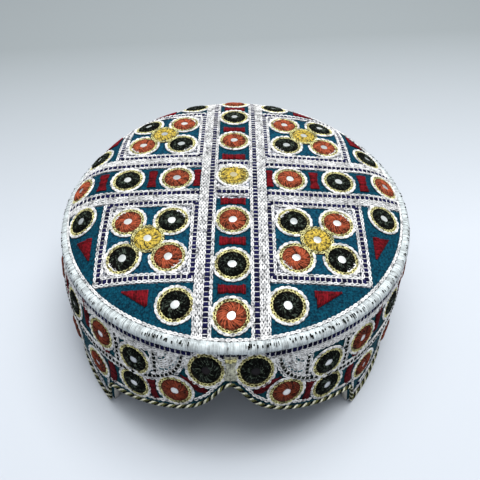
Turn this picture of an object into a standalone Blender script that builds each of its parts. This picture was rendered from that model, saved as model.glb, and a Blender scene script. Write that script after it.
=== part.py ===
"""A Sindhi cap: quilted cotton crown and side band with mirror-work roundels.

Metres, +Z up, the arch of the front towards -Y. The cap rests on the lower edge of its band at z = 0.
Angles on the band are measured in degrees from the front, positive towards +X.
"""
import math

import bmesh
import bpy
import numpy as np
from mathutils import Matrix, Vector

# Driving dimensions
CAP_HEIGHT = 0.074
CROWN_EDGE_ARC = 0.0905
CLOTH = 0.003
SEAM_GAP = 0.00035

# How far the crown's curve is worked out along the cloth, and in how many steps
MERIDIAN_REACH = 0.100
MERIDIAN_STEPS = 120
# Half the step over which a surface's directions are measured
SLOPE_STEP = 0.001
TURN_STEP = 0.5

# The crown's shallow dome: how far it falls at DOME_RADIUS, by the square and by the fourth power
DOME_RADIUS = 0.0875
DOME_FALL = 0.0081
DOME_EDGE_FALL = 0.0012

# Near its edge the crown rolls over: its extra slope at the seam in degrees, as a mean and as shares that
# grow towards the back, towards the sides and towards the left, where the cap sits lowest
ROLL_START = 0.062
ROLL_MEAN = 25.5
ROLL_BACK = 14.5
ROLL_SIDES = 11.0
ROLL_LEFT = 8.8

# The band meets the crown just outside the seam and is an oval, set forward, round the head. Where the
# crown rolls over and its seam is drawn in, the band bows out below it by a share of that
BAND_OUTSIDE_SEAM = 0.0010
BAND_FULL_RADIUS = 0.0908
BAND_FULLNESS = 0.65
HEAD_HALF_WIDTH = 0.0845
HEAD_HALF_LENGTH = 0.0960
HEAD_FORWARD = 0.0120

# The crown's axis lies this far behind the middle of the whole cap's footprint
AXIS_Y = 0.00495

# The lower edge at the front: angle from the front and height of the edge above the floor
ARCH_EDGE = (
    # angle, height
    (0.0, 0.0475),
    (2.0, 0.0435),
    (5.0, 0.0372),
    (9.0, 0.0322),
    (14.0, 0.0288),
    (21.0, 0.0256),
    (30.0, 0.0218),
    (39.0, 0.0180),
)
ARCH_FOOT_ANGLE = 39.0
ARCH_TIP_ANGLE = 43.0
ARCH_COLUMNS = 30
FOOT_COLUMNS = 2
BACK_COLUMNS = 32
WALL_ROWS = 3

# Piping: a comma-shaped roll over the seam, by distance out from the seam, height above it and how much
# of the crown's slope the point turns with
PIPING_ON_CROWN = (
    # out, up, share of the slope
    (-0.0030, 0.0004, 1.0),
    (-0.0026, 0.0012, 1.0),
    (-0.0012, 0.0021, 1.0),
    (0.0004, 0.0020, 0.6),
    (0.0016, 0.0008, 0.3),
)
# Its outer side hangs down towards the band's top, by shares of the drop to it
PIPING_ON_BAND = (
    # out, share of the drop
    (0.0017, 0.25),
    (0.0010, 0.54),
    (0.0004, 0.50),
    (0.0004, -0.05),
)
TURNED_STEPS = 48
CROWN_RING_ARCS = (0.030, 0.060, 0.072, 0.082, CROWN_EDGE_ARC)

RIM_CORD_RADIUS = 0.0012
RIM_CORD_INSET = 0.0013

# A roundel: a small mirror held down by a raised ring of thread
ROUNDEL_RADIUS = 0.0071
FLOWER_ROUNDEL_RADIUS = 0.0084
ROUNDEL_SIDES = 10
ROUNDEL_PROFILE = (
    # share of the radius, height above the cloth
    (0.0, 0.0007),
    (0.28, 0.0007),
    (0.36, 0.0013),
    (0.86, 0.0012),
    (1.0, 0.0),
    (0.0, 0.0),
)
BACK_ROUNDEL_PROFILE = (
    # share of the radius, height above the cloth
    (0.0, 0.0006),
    (0.36, 0.0013),
    (0.86, 0.0012),
    (1.0, 0.0),
    (0.0, 0.0),
)

# The crown's pattern isn't quite regular: towards the sides it is stretched out and drawn back, by these
# lengths at PATTERN_REACH, and more on the right
PATTERN_REACH = 0.076
PATTERN_STRETCH = 0.0028
PATTERN_BACK = 0.0028
PATTERN_BACK_RIGHT = 0.0019

# Where the roundels sit on the crown, measured along the cloth from its middle
CENTRE_ROUNDEL_BACK = 0.0020
ARM_COLOURS = ("orange", "black", "orange")
ARMS = (
    # direction, turn in degrees, stations of its three roundels
    ("front", 0, (0.0280, 0.0524, 0.0765)),
    ("right", 90, (0.0280, 0.0524, 0.0765)),
    ("back", 180, (0.0308, 0.0556, 0.0775)),
    ("left", 270, (0.0280, 0.0524, 0.0765)),
)
SQUARE_CENTRE = 0.0382
FLOWER_PETAL = 0.0101
EDGE_ROUNDEL_NEAR = 0.0234
EDGE_ROUNDEL_FAR = 0.0714
QUARTERS = (("front_right", 1, -1), ("back_right", 1, 1), ("back_left", -1, 1), ("front_left", -1, -1))

# Roundels on the band's front, one row for each pair: name, angle, height, colour
BAND_PAIRS = (
    # name, angle, height, colour
    ("front_roundel", 6.4, 0.0530, "black"),
    ("upper_roundel_1", 27.4, 0.0463, "black"),
    ("upper_roundel_2", 39.7, 0.0472, "orange"),
    ("lower_roundel_1", 15.4, 0.0381, "orange"),
    ("lower_roundel_2", 28.6, 0.0319, "black"),
    ("lower_roundel_3", 45.0, 0.0240, "orange"),
)

# The two front roundels are taller than wide
FRONT_ROUNDEL_TALL = 1.18

# The rows that go on round the back, from the last roundel of the front to the one at the very back:
# each follows the band's top edge by a share and otherwise keeps its height
BACK_ROWS = (
    # name, angle of the last front roundel, height at the very back, share of the top edge's rise
    ("upper_row_back", 39.7, 0.0440, 1.0),
    ("lower_row_back", 45.0, 0.0230, 0.0),
)
BACK_ROW_STEPS = 9
LINK_COLUMNS_EACH = 2
LINK_HALF_HEIGHT = 0.0024
LINK_THICKNESS = 0.0008

FRONT_TIE_HALF_WIDTH = 0.0022
FRONT_TIE_HALF_HEIGHT = 0.0050
FRONT_TIE_HALF_DEPTH = 0.0009
FRONT_TIE_HEIGHT = 0.0558
FRONT_TIE_WAIST = 0.25

FINISHES = {
    # name: colour, roughness, metallic
    "crown_cotton": ((0.004, 0.090, 0.150, 1.0), 0.90, 0.0),
    "band_cotton": ((0.004, 0.070, 0.100, 1.0), 0.90, 0.0),
    "white_satin": ((0.68, 0.70, 0.68, 1.0), 0.60, 0.0),
    "rim_thread": ((0.12, 0.11, 0.07, 1.0), 0.60, 0.0),
    "cream_thread": ((0.62, 0.60, 0.48, 1.0), 0.70, 0.0),
    "orange": ((0.40, 0.060, 0.025, 1.0), 0.55, 0.0),
    "black": ((0.010, 0.012, 0.009, 1.0), 0.50, 0.0),
    "gold": ((0.52, 0.34, 0.06, 1.0), 0.45, 0.3),
    "dark_red": ((0.16, 0.010, 0.015, 1.0), 0.80, 0.0),
}


def clear_scene():
    """Remove every object that the file opened with."""
    for thing in list(bpy.data.objects):
        bpy.data.objects.remove(thing, do_unlink=True)


def make_collection(name):
    """A new collection under the scene's own."""
    collection = bpy.data.collections.new(name)
    bpy.context.scene.collection.children.link(collection)
    return collection


def finish(name):
    """The named cloth or thread as a Principled BSDF."""
    known = bpy.data.materials.get(name)
    if known:
        return known
    colour, roughness, metallic = FINISHES[name]
    material = bpy.data.materials.new(name)
    material.use_nodes = True
    shader = material.node_tree.nodes["Principled BSDF"]
    shader.inputs["Base Color"].default_value = colour
    shader.inputs["Roughness"].default_value = roughness
    shader.inputs["Metallic"].default_value = metallic
    return material


def add_object(name, mesh, collection, finish_name):
    """A named object of the mesh in the collection, with its finish."""
    thing = bpy.data.objects.new(name, mesh)
    collection.objects.link(thing)
    if not mesh.materials:
        mesh.materials.append(finish(finish_name))
    return thing


def crown_meridian(turn):
    """Arc length, radius, fall and slope of the crown's upper face along one direction from its middle.

    The slope is a shallow dome's, plus an even roll from ROLL_START to the seam. Radius and fall are the
    sums of the small steps along it.
    """
    roll = ROLL_MEAN - ROLL_BACK * math.cos(turn) - ROLL_SIDES * math.cos(2 * turn)
    roll -= ROLL_LEFT * math.sin(turn)
    arc = np.linspace(0.0, MERIDIAN_REACH, MERIDIAN_STEPS + 1)
    share = arc / DOME_RADIUS
    slope = np.arctan((2 * DOME_FALL * share + 4 * DOME_EDGE_FALL * share ** 3) / DOME_RADIUS)
    slope += math.radians(roll) * np.maximum(arc - ROLL_START, 0.0) / (CROWN_EDGE_ARC - ROLL_START)
    middle = (slope[1:] + slope[:-1]) / 2
    step = arc[1]
    radius = np.concatenate([[0.0], np.cumsum(np.cos(middle) * step)])
    fall = np.concatenate([[0.0], np.cumsum(np.sin(middle) * step)])
    return arc, radius, fall, slope


def crown_at(turn, arc):
    """Radius, height and slope of the crown's upper face that far along the cloth from its middle."""
    arcs, radii, falls, slopes = crown_meridian(turn)
    radius = float(np.interp(arc, arcs, radii))
    height = CAP_HEIGHT - float(np.interp(arc, arcs, falls))
    return radius, height, float(np.interp(arc, arcs, slopes))


def seam(angle):
    """Radius, height and slope of the crown's edge at an angle in degrees from the front."""
    return crown_at(math.radians(angle), CROWN_EDGE_ARC)


def around(angle, radius, height):
    """The point at that angle, radius and height round the crown's axis."""
    turn = math.radians(angle)
    return Vector((radius * math.sin(turn), AXIS_Y - radius * math.cos(turn), height))


def band_top(angle):
    """Height of the band's upper edge, a gap below the crown's edge."""
    radius, height, slope = seam(angle)
    return height - CLOTH * math.cos(slope) - SEAM_GAP


def rim_height(angle):
    """Height of the band's lower edge: the arch in front, a short slanted foot, then the floor."""
    turn = abs(angle)
    if turn >= ARCH_TIP_ANGLE:
        return 0.0
    foot_top = ARCH_EDGE[-1][1]
    if turn >= ARCH_FOOT_ANGLE:
        return foot_top * (ARCH_TIP_ANGLE - turn) / (ARCH_TIP_ANGLE - ARCH_FOOT_ANGLE)
    angles = [row[0] for row in ARCH_EDGE]
    heights = [row[1] for row in ARCH_EDGE]
    return float(np.interp(turn, angles, heights))


def wall_point(angle, height, outside=0.0):
    """A point of the band's outer face, or that far outside it, between seam and hem.

    It lies on the straight line from seam to hem, bowed out by a parabola that is widest half way.
    """
    down = 1.0 - height / band_top(angle)
    seam_radius = seam(angle)[0]
    bow = 4.0 * down * (1.0 - down) * BAND_FULLNESS * (BAND_FULL_RADIUS - seam_radius)
    outside += bow
    top = around(angle, seam_radius + BAND_OUTSIDE_SEAM + outside, height)
    turn = math.radians(angle)
    hem_x = (HEAD_HALF_WIDTH + outside) * math.sin(turn)
    hem_y = AXIS_Y - HEAD_FORWARD - (HEAD_HALF_LENGTH + outside) * math.cos(turn)
    return top.lerp(Vector((hem_x, hem_y, height)), down)


def wall_frame(angle, height):
    """The directions along, up and out of the band's outer face at a point."""
    along = wall_point(angle + TURN_STEP, height) - wall_point(angle - TURN_STEP, height)
    up = wall_point(angle, height + SLOPE_STEP) - wall_point(angle, height - SLOPE_STEP)
    along.normalize()
    out = along.cross(up).normalized()
    up = out.cross(along).normalized()
    return along, up, out


def placed(origin, along, up, out):
    """The matrix that puts a piece's x, y and z along the three directions at the origin."""
    turn = Matrix((along, up, out)).transposed().to_4x4()
    return Matrix.Translation(origin) @ turn


def on_wall(angle, height):
    """Where a flat piece lies on the band, a seam's gap outside it."""
    along, up, out = wall_frame(angle, height)
    return placed(wall_point(angle, height) + out * SEAM_GAP, along, up, out)


def crown_point(x, y):
    """A point of the crown's upper face, by its place in the pattern to the right and back of the middle.

    The pattern's place is moved by the fifth and fourth power of its distance to the side.
    """
    share = x / PATTERN_REACH
    right = x + PATTERN_STRETCH * share ** 5
    back = y + PATTERN_BACK * share ** 4 + PATTERN_BACK_RIGHT * share ** 5
    turn = math.atan2(right, -back)
    radius, height, slope = crown_at(turn, math.hypot(right, back))
    return around(math.degrees(turn), radius, height)


def on_crown(x, y):
    """Where a flat piece lies on the crown, a seam's gap above it."""
    along = (crown_point(x + SLOPE_STEP, y) - crown_point(x - SLOPE_STEP, y)).normalized()
    back = crown_point(x, y + SLOPE_STEP) - crown_point(x, y - SLOPE_STEP)
    out = along.cross(back).normalized()
    up = out.cross(along)
    return placed(crown_point(x, y) + out * SEAM_GAP, along, up, out)


def turned(name, points, steps, collection, finish_name):
    """A piece turned round the Z axis from its (radius, height) profile."""
    mesh = bpy.data.meshes.new(name)
    edges = [(i, i + 1) for i in range(len(points) - 1)]
    mesh.from_pydata([(radius, 0.0, height) for radius, height in points], edges, [])
    thing = add_object(name, mesh, collection, finish_name)
    screw = thing.modifiers.new("turned", "SCREW")
    screw.steps = steps
    screw.render_steps = steps
    screw.use_merge_vertices = True
    screw.merge_threshold = 0.00001
    return thing


def loft(name, columns, collection, finish_name, poles=None):
    """A closed body through a ring of columns of points, whose ends meet at two poles or at each other."""
    shell = bmesh.new()
    rings = [[shell.verts.new(point) for point in column] for column in columns]
    ends = [shell.verts.new(point) for point in poles] if poles else []
    for here, there in zip(rings, rings[1:] + rings[:1]):
        if ends:
            shell.faces.new((ends[0], here[0], there[0]))
            shell.faces.new((ends[1], there[-1], here[-1]))
        else:
            shell.faces.new((here[-1], here[0], there[0], there[-1]))
        for j in range(len(here) - 1):
            shell.faces.new((here[j], here[j + 1], there[j + 1], there[j]))
    bmesh.ops.recalc_face_normals(shell, faces=shell.faces)
    mesh = bpy.data.meshes.new(name)
    shell.to_mesh(mesh)
    shell.free()
    return add_object(name, mesh, collection, finish_name)


def round_angles():
    """Angles once round the crown from the front, in degrees."""
    return [360.0 * i / TURNED_STEPS for i in range(TURNED_STEPS)]


def build_crown(collection):
    """The crown: its upper face, and its underside a cloth's thickness below it."""
    columns = []
    for angle in round_angles():
        top = []
        under = []
        for arc in CROWN_RING_ARCS:
            radius, height, slope = crown_at(math.radians(angle), arc)
            top.append(around(angle, radius, height))
            inside = radius - CLOTH * math.sin(slope)
            under.append(around(angle, inside, height - CLOTH * math.cos(slope)))
        columns.append(top + under[::-1])
    poles = (around(0.0, 0.0, CAP_HEIGHT), around(0.0, 0.0, CAP_HEIGHT - CLOTH))
    loft("crown", columns, collection, "crown_cotton", poles)


def piping_section(angle):
    """The roll's outline at an angle: over the crown's edge, then down to the band."""
    radius, height, slope = seam(angle)
    points = []
    for out, up, share in PIPING_ON_CROWN:
        tilt = share * slope
        away = out * math.cos(tilt) + up * math.sin(tilt)
        rise = up * math.cos(tilt) - out * math.sin(tilt)
        points.append(around(angle, radius + away, height + rise))
    drop = height - band_top(angle)
    for out, share in PIPING_ON_BAND:
        points.append(around(angle, radius + out, height - share * drop))
    return points


def build_piping(collection):
    """The roll of satin stitch that covers the seam of crown and band."""
    columns = [piping_section(angle) for angle in round_angles()]
    loft("crown_piping", columns, collection, "white_satin")


def band_angles():
    """The band's columns, once round from the front: fine over the arch, coarser behind."""
    arch = np.linspace(-ARCH_FOOT_ANGLE, ARCH_FOOT_ANGLE, ARCH_COLUMNS + 1)
    right_foot = np.linspace(ARCH_FOOT_ANGLE, ARCH_TIP_ANGLE, FOOT_COLUMNS + 1)[1:]
    back = np.linspace(ARCH_TIP_ANGLE, 360 - ARCH_TIP_ANGLE, BACK_COLUMNS + 1)[1:]
    left_foot = np.linspace(360 - ARCH_TIP_ANGLE, 360 - ARCH_FOOT_ANGLE, FOOT_COLUMNS + 1)[1:-1]
    return [float(a) for a in np.concatenate([arch, right_foot, back, left_foot])]


def signed_angle(angle):
    """The same angle between -180 and 180."""
    return (angle + 180.0) % 360.0 - 180.0


def build_band(collection):
    """The side band, lofted from the seam to the oval head opening with the arch left out."""
    columns = []
    for angle in band_angles():
        top = band_top(angle)
        low = rim_height(signed_angle(angle))
        heights = [top + (low - top) * row / WALL_ROWS for row in range(WALL_ROWS + 1)]
        outer = [wall_point(angle, height) for height in heights]
        inner = [wall_point(angle, height, -CLOTH) for height in reversed(heights)]
        columns.append(outer + inner)
    loft("side_band", columns, collection, "band_cotton")


def rim_path():
    """The cord's centre line: the band's lower edge, moved up into the cloth and out of its face."""
    edge = [wall_point(a, rim_height(signed_angle(a))) for a in band_angles()]
    outward = [wall_frame(a, rim_height(signed_angle(a)) + RIM_CORD_INSET)[2] for a in band_angles()]
    count = len(edge)
    path = []
    for i in range(count):
        along = (edge[(i + 1) % count] - edge[i - 1]).normalized()
        into_cloth = outward[i].cross(along).normalized()
        lift = into_cloth * RIM_CORD_INSET
        clear = outward[i] * (RIM_CORD_RADIUS + SEAM_GAP)
        centre = edge[i] + lift + clear
        centre.z = max(centre.z, RIM_CORD_RADIUS)
        path.append(centre)
    return path


def build_rim_cord(collection):
    """The twisted cord round the lower edge, as a closed tube."""
    curve = bpy.data.curves.new("rim_cord", "CURVE")
    curve.dimensions = "3D"
    curve.bevel_depth = RIM_CORD_RADIUS
    curve.bevel_resolution = 1
    curve.materials.append(finish("rim_thread"))
    spline = curve.splines.new("POLY")
    path = rim_path()
    spline.points.add(len(path) - 1)
    for point, place in zip(spline.points, path):
        point.co = (place.x, place.y, place.z, 1.0)
    spline.use_cyclic_u = True
    cord = bpy.data.objects.new("rim_cord", curve)
    collection.objects.link(cord)


def build_front_tie(collection):
    """The bridge of thread over the arch's peak: a flattened bundle, drawn in at its waist."""
    bundle = bmesh.new()
    bmesh.ops.create_uvsphere(bundle, u_segments=10, v_segments=8, radius=1.0)
    for vertex in bundle.verts:
        pull = 1.0 - FRONT_TIE_WAIST * (1.0 - abs(vertex.co.z)) ** 2
        vertex.co.x *= FRONT_TIE_HALF_WIDTH * pull
        vertex.co.y *= FRONT_TIE_HALF_DEPTH
        vertex.co.z *= FRONT_TIE_HALF_HEIGHT
    mesh = bpy.data.meshes.new("front_tie")
    bundle.to_mesh(mesh)
    bundle.free()
    tie = add_object("front_tie", mesh, collection, "cream_thread")
    along, up, out = wall_frame(0.0, FRONT_TIE_HEIGHT)
    origin = wall_point(0.0, FRONT_TIE_HEIGHT) + out * (FRONT_TIE_HALF_DEPTH + SEAM_GAP)
    tie.matrix_world = placed(origin, along, -out, up)


def roundel(name, matrix, colour, collection, radius=ROUNDEL_RADIUS, profile=ROUNDEL_PROFILE):
    """One mirror in its thread ring, a low turned disc laid on the cloth."""
    points = [(share * radius, height) for share, height in profile]
    disc = turned(name, points, ROUNDEL_SIDES, collection, colour)
    disc.matrix_world = matrix
    return disc


def fused(base, parts, guides):
    """Make the parts one body with the base through a Boolean union, and keep them as guides."""
    operands = bpy.data.collections.new(base.name + "_parts")
    guides.children.link(operands)
    for part in parts:
        operands.objects.link(part)
        part.hide_render = True
        part.display_type = "WIRE"
    union = base.modifiers.new("fused", "BOOLEAN")
    union.operation = "UNION"
    union.solver = "EXACT"
    union.operand_type = "COLLECTION"
    union.collection = operands


def build_arms(collection):
    """The roundels of the cross: one in the middle and three along each arm."""
    roundel("centre_roundel", on_crown(0.0, CENTRE_ROUNDEL_BACK), "gold", collection)
    for direction, turn, stations in ARMS:
        angle = math.radians(turn)
        for number, (station, colour) in enumerate(zip(stations, ARM_COLOURS), start=1):
            x = station * math.sin(angle)
            y = -station * math.cos(angle)
            name = "arm_roundel_%s_%d" % (direction, number)
            roundel(name, on_crown(x, y), colour, collection)


def build_flowers(collection, guides):
    """The five roundels of each square, whose rings meet, as one body."""
    scene_collection = bpy.context.scene.collection
    size = FLOWER_ROUNDEL_RADIUS
    for quarter, side, end in QUARTERS:
        x = side * SQUARE_CENTRE
        y = end * SQUARE_CENTRE
        middle = roundel("flower_" + quarter, on_crown(x, y), "gold", collection, size)
        petals = []
        for number, (dx, dy) in enumerate(((-1, -1), (1, -1), (1, 1), (-1, 1))):
            place = on_crown(x + dx * FLOWER_PETAL, y + dy * FLOWER_PETAL)
            name = "petal_%s_%d" % (quarter, number)
            petals.append(roundel(name, place, "black", scene_collection, size))
        release(petals)
        fused(middle, petals, guides)


def release(things):
    """Unlink things from the scene's own collection, so that only their guide collection holds them."""
    for thing in things:
        bpy.context.scene.collection.objects.unlink(thing)


def build_edge_roundels(collection):
    """The black roundels between each square and the piping, two in each quarter."""
    for quarter, side, end in QUARTERS:
        ends = on_crown(side * EDGE_ROUNDEL_NEAR, end * EDGE_ROUNDEL_FAR)
        roundel("edge_roundel_%s_1" % quarter, ends, "black", collection)
        sides = on_crown(side * EDGE_ROUNDEL_FAR, end * EDGE_ROUNDEL_NEAR)
        roundel("edge_roundel_%s_2" % quarter, sides, "black", collection)


def build_band_roundels(collection):
    """The roundels on the front of the band, in mirrored pairs."""
    for name, angle, height, colour in BAND_PAIRS:
        for side, sign in (("right", 1), ("left", -1)):
            place = on_wall(sign * angle, height)
            if name == "front_roundel":
                place = place @ Matrix.Diagonal((1.0, FRONT_ROUNDEL_TALL, 1.0, 1.0))
            roundel("%s_%s" % (name, side), place, colour, collection)


def row_height(angle, back_height, follow):
    """Height of a row at an angle, following the band's top edge by a share."""
    return back_height + follow * (band_top(angle) - band_top(180.0))


def link_section(angle, height):
    """The corners of the strip between a row's roundels at an angle."""
    low = height - LINK_HALF_HEIGHT
    high = height + LINK_HALF_HEIGHT
    inside = SEAM_GAP
    outside = SEAM_GAP + LINK_THICKNESS
    corners = ((low, inside), (low, outside), (high, outside), (high, inside))
    return [wall_point(angle, z, away) for z, away in corners]


def link_strip(name, sections, collection):
    """The low stitched strip that links a row's roundels, following the band."""
    strip = bmesh.new()
    rings = [[strip.verts.new(corner) for corner in section] for section in sections]
    for here, there in zip(rings, rings[1:]):
        for j in range(4):
            k = (j + 1) % 4
            strip.faces.new((here[j], here[k], there[k], there[j]))
    strip.faces.new(rings[0])
    strip.faces.new(rings[-1])
    bmesh.ops.recalc_face_normals(strip, faces=strip.faces)
    mesh = bpy.data.meshes.new(name)
    strip.to_mesh(mesh)
    strip.free()
    return add_object(name, mesh, collection, "dark_red")


def build_back_rows(collection, guides):
    """The two rows carried on round the sides and back, each fused into one chain."""
    for name, front_angle, back_height, follow in BACK_ROWS:
        spacing = (180.0 - front_angle) / BACK_ROW_STEPS
        first = front_angle + spacing
        count = 2 * BACK_ROW_STEPS - 1
        columns = LINK_COLUMNS_EACH * (count - 1)
        angles = [first + spacing * i / LINK_COLUMNS_EACH for i in range(columns + 1)]
        sections = [link_section(a, row_height(a, back_height, follow)) for a in angles]
        strip = link_strip(name, sections, collection)
        discs = []
        for number, angle in enumerate(angles[::LINK_COLUMNS_EACH]):
            place = on_wall(angle, row_height(angle, back_height, follow))
            discs.append(roundel(
                "%s_disc_%d" % (name, number), place, "black", bpy.context.scene.collection,
                profile=BACK_ROUNDEL_PROFILE))
        release(discs)
        fused(strip, discs, guides)


def main():
    """Build the whole cap."""
    clear_scene()
    cap = make_collection("sindhi_cap")
    guides = make_collection("guides")
    build_crown(cap)
    build_band(cap)
    build_piping(cap)
    build_rim_cord(cap)
    build_front_tie(cap)
    build_arms(cap)
    build_flowers(cap, guides)
    build_edge_roundels(cap)
    build_band_roundels(cap)
    build_back_rows(cap, guides)


main()
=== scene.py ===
"""A round Sindhi cap: quilted cloth, mirror roundels, chain stitches, satin piping and a twisted rim cord."""

import bpy
import numpy as np
from mathutils import Matrix, Vector


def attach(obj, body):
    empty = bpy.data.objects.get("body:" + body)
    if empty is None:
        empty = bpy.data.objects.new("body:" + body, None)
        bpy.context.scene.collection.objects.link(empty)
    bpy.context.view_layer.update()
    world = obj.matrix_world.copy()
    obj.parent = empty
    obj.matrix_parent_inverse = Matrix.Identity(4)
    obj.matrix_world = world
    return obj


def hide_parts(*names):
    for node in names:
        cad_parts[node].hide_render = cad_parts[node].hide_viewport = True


bl_info = {
    "name": "Sindhi cap",
    "version": (1, 0, 0),
    "blender": (4, 5, 0),
    "location": "View3D > Sidebar > Sindhi cap",
    "description": "Builds an embroidered cap from surfaces worked out in numpy",
    "category": "Add Mesh",
}

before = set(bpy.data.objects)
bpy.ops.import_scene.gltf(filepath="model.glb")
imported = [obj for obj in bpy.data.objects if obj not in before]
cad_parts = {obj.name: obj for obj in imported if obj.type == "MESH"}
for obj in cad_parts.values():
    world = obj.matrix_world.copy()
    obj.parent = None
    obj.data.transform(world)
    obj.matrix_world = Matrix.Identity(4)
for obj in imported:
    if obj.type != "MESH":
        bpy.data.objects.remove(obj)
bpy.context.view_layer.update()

MM = 0.001

# The crown and the band, with the same values as the solids
CAP_HEIGHT = 0.074
CROWN_EDGE_ARC = 0.0905
CLOTH = 0.003
SEAM_GAP = 0.00035
DOME_RADIUS = 0.0875
DOME_FALL = 0.0081
DOME_EDGE_FALL = 0.0012
ROLL_START = 0.062
ROLL_MEAN = 25.5
ROLL_BACK = 14.5
ROLL_SIDES = 11.0
ROLL_LEFT = 8.8
BAND_OUTSIDE_SEAM = 0.0010
BAND_FULL_RADIUS = 0.0908
BAND_FULLNESS = 0.65
HEM_HALF_WIDTH = 0.0845
HEM_HALF_LENGTH = 0.0960
HEM_FORWARD = 0.0120
AXIS_Y = 0.00495
ARCH_ANGLES = (0.0, 2.0, 5.0, 9.0, 14.0, 21.0, 30.0, 39.0, 43.0)
ARCH_HEIGHTS = (0.0475, 0.0435, 0.0372, 0.0322, 0.0288, 0.0256, 0.0218, 0.0180, 0.0)
ARCH_FOOT_ANGLE = 39.0
ARCH_TIP_ANGLE = 43.0
PIPING_ON_CROWN = ((-0.0030, 0.0004, 1.0), (-0.0026, 0.0012, 1.0), (-0.0012, 0.0021, 1.0),
                   (0.0004, 0.0020, 0.6), (0.0016, 0.0008, 0.3))
PIPING_ON_BAND = ((0.0017, 0.25), (0.0010, 0.54), (0.0004, 0.50), (0.0004, -0.05))
PIPING_RADIUS = 0.088
PIPING_RIDGE = 0.00014
PIPING_GROOVE = -0.00007
# The piping's black strokes: rise above it, half widths and half height
STROKE_RISE = 0.00018
STROKE_WIDE = 0.0003
FINE_STROKE_WIDE = 0.00014
STROKE_HIGH = 0.00022
RIM_CORD_RADIUS = 0.0012
RIM_CORD_INSET = 0.0013
# The cord's strands: radius of their turn, and half width and half height of each
STRAND_TURN_RADIUS = 0.00042
STRAND_WIDE = 0.0005
STRAND_HIGH = 0.00048
PATTERN_REACH = 0.076
PATTERN_STRETCH = 0.0028
PATTERN_BACK = 0.0028
PATTERN_BACK_RIGHT = 0.0019
MIRROR_RADIUS = 0.0020
MIRROR_HEIGHT = 0.00078
MIRROR_DOME = 0.00014
FRONT_ROUNDEL_TALL = 1.18

# From the sides to the back the piping lies flatter on the crown: angles in degrees, and how much flatter
PIPING_FLATTER_FROM = 85.0
PIPING_FLATTER_TO = 135.0
PIPING_FLATTER_BY = 0.78

# Distances round the band are measured at this radius
BAND_SCALE = 0.089
# Half the distance over which a face's direction is measured
STEP = 0.0002
# A chain link's length as a share of its pitch, so that it runs under the next
LINK_OVERLAP = 1.15
# A patch's thread: half its width as a share of the spacing, and its height
PATCH_THREAD_SHARE = 0.56
PATCH_THREAD_HIGH = 0.00036
# Places and weights of an eight-point Gauss-Legendre sum
GAUSS_PLACES, GAUSS_WEIGHTS = np.polynomial.legendre.leggauss(8)
# A full turn in the materials' ripples
FULL_TURN = 6.2832

ARM_COLOURS = ("orange", "black", "orange")
ARMS = (
    # name, turn in degrees, stations
    ("front", 0, (0.0280, 0.0524, 0.0765)),
    ("right", 90, (0.0280, 0.0524, 0.0765)),
    ("back", 180, (0.0308, 0.0556, 0.0775)),
    ("left", 270, (0.0280, 0.0524, 0.0765)),
)
CENTRE_ROUNDEL_BACK = 0.0020
SQUARE_CENTRE = 0.0382
FLOWER_PETAL = 0.0101
QUARTERS = (("front_right", 1, -1), ("back_right", 1, 1), ("back_left", -1, 1), ("front_left", -1, -1))
PETAL_COLOURS = {
    # petals at back right, front right, front left, back left
    "front_right": ("orange", "black", "orange", "black"),
    "front_left": ("black", "orange", "black", "orange"),
    "back_right": ("black", "orange", "black", "orange"),
    "back_left": ("orange", "black", "orange", "black"),
}
PETALS = ((1, 1), (1, -1), (-1, -1), (-1, 1))
EDGE_ROUNDEL_NEAR = 0.0234
EDGE_ROUNDEL_FAR = 0.0714
BAND_PAIRS = (
    # name, angle, height, colour
    ("front_roundel", 6.4, 0.0530, "black"),
    ("upper_roundel_1", 27.4, 0.0463, "black"),
    ("upper_roundel_2", 39.7, 0.0472, "orange"),
    ("lower_roundel_1", 15.4, 0.0381, "orange"),
    ("lower_roundel_2", 28.6, 0.0319, "black"),
    ("lower_roundel_3", 45.0, 0.0240, "orange"),
)
BACK_ROWS = (
    # name, angle of the last front roundel, height at the back, share of the top edge's rise
    ("upper_row_back", 39.7, 0.0440, 1.0),
    ("lower_row_back", 45.0, 0.0230, 0.0),
)
BACK_ROW_STEPS = 9

# The corner that the fans' arcs go round, by angle and height in millimetres
FAN_CORNER = (19.6, 57.5)
# The curved divider of the band's two rows, by angle and height in millimetres
DIVIDER = ((12.6, 58.5), (13.4, 53.5), (15.0, 49.0), (17.6, 45.2), (22.0, 41.8), (28.0, 39.1), (33.5, 37.4),
           (40.0, 36.4), (50.0, 35.8))

# A roundel's ring of thread: radius and height in millimetres, depth of its ripple and share of painted
# light, high on the hump's top and low at its foot as painted shade
RING_PROFILE = (
    (1.75, 0.45, 0.4, 0.60),
    (2.0, 0.98, 1.0, 1.20),
    (2.6, 1.26, 1.0, 1.15),
    (3.6, 1.30, 1.0, 0.95),
    (4.7, 1.16, 1.0, 0.62),
    (5.7, 0.80, 1.0, 0.42),
    (6.3, 0.05, 0.6, 0.20),
)
RING_THREADS = 24
# Height of the ripple in metres, and how far the threads turn on their way out
RING_RIPPLE = 0.00022
RING_SWIRL = 0.85
# Inner and outer radius of the dark strip under the gilt chain, brown thread with painted shade, in
# millimetres
GILT_STRIP = (6.1, 7.8)
GILT_CHAIN_RADIUS = 0.00698
OUTLINE_RADIUS = 0.0082
# Stitches nearer than this to a roundel's middle are left out
ROUNDEL_REACH = 0.0083
NEIGHBOUR_REACH = 0.0078

# The tie over the arch's peak
TIE_HALF_WIDTH = 0.0027
TIE_TOP = 0.0612
TIE_LENGTH = 0.0125
TIE_RISE = 0.0004
TIE_DEPTH = 0.0011
# The tie's waist: how much narrower, at what share of its length, and over what share
TIE_WAIST = (0.38, 0.45, 0.22)
TIE_WRAP_HEIGHT = 0.0592
TIE_WRAP_HALF_WIDTH = 0.0021
TIE_WRAP_SPACING = 0.00055

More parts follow.
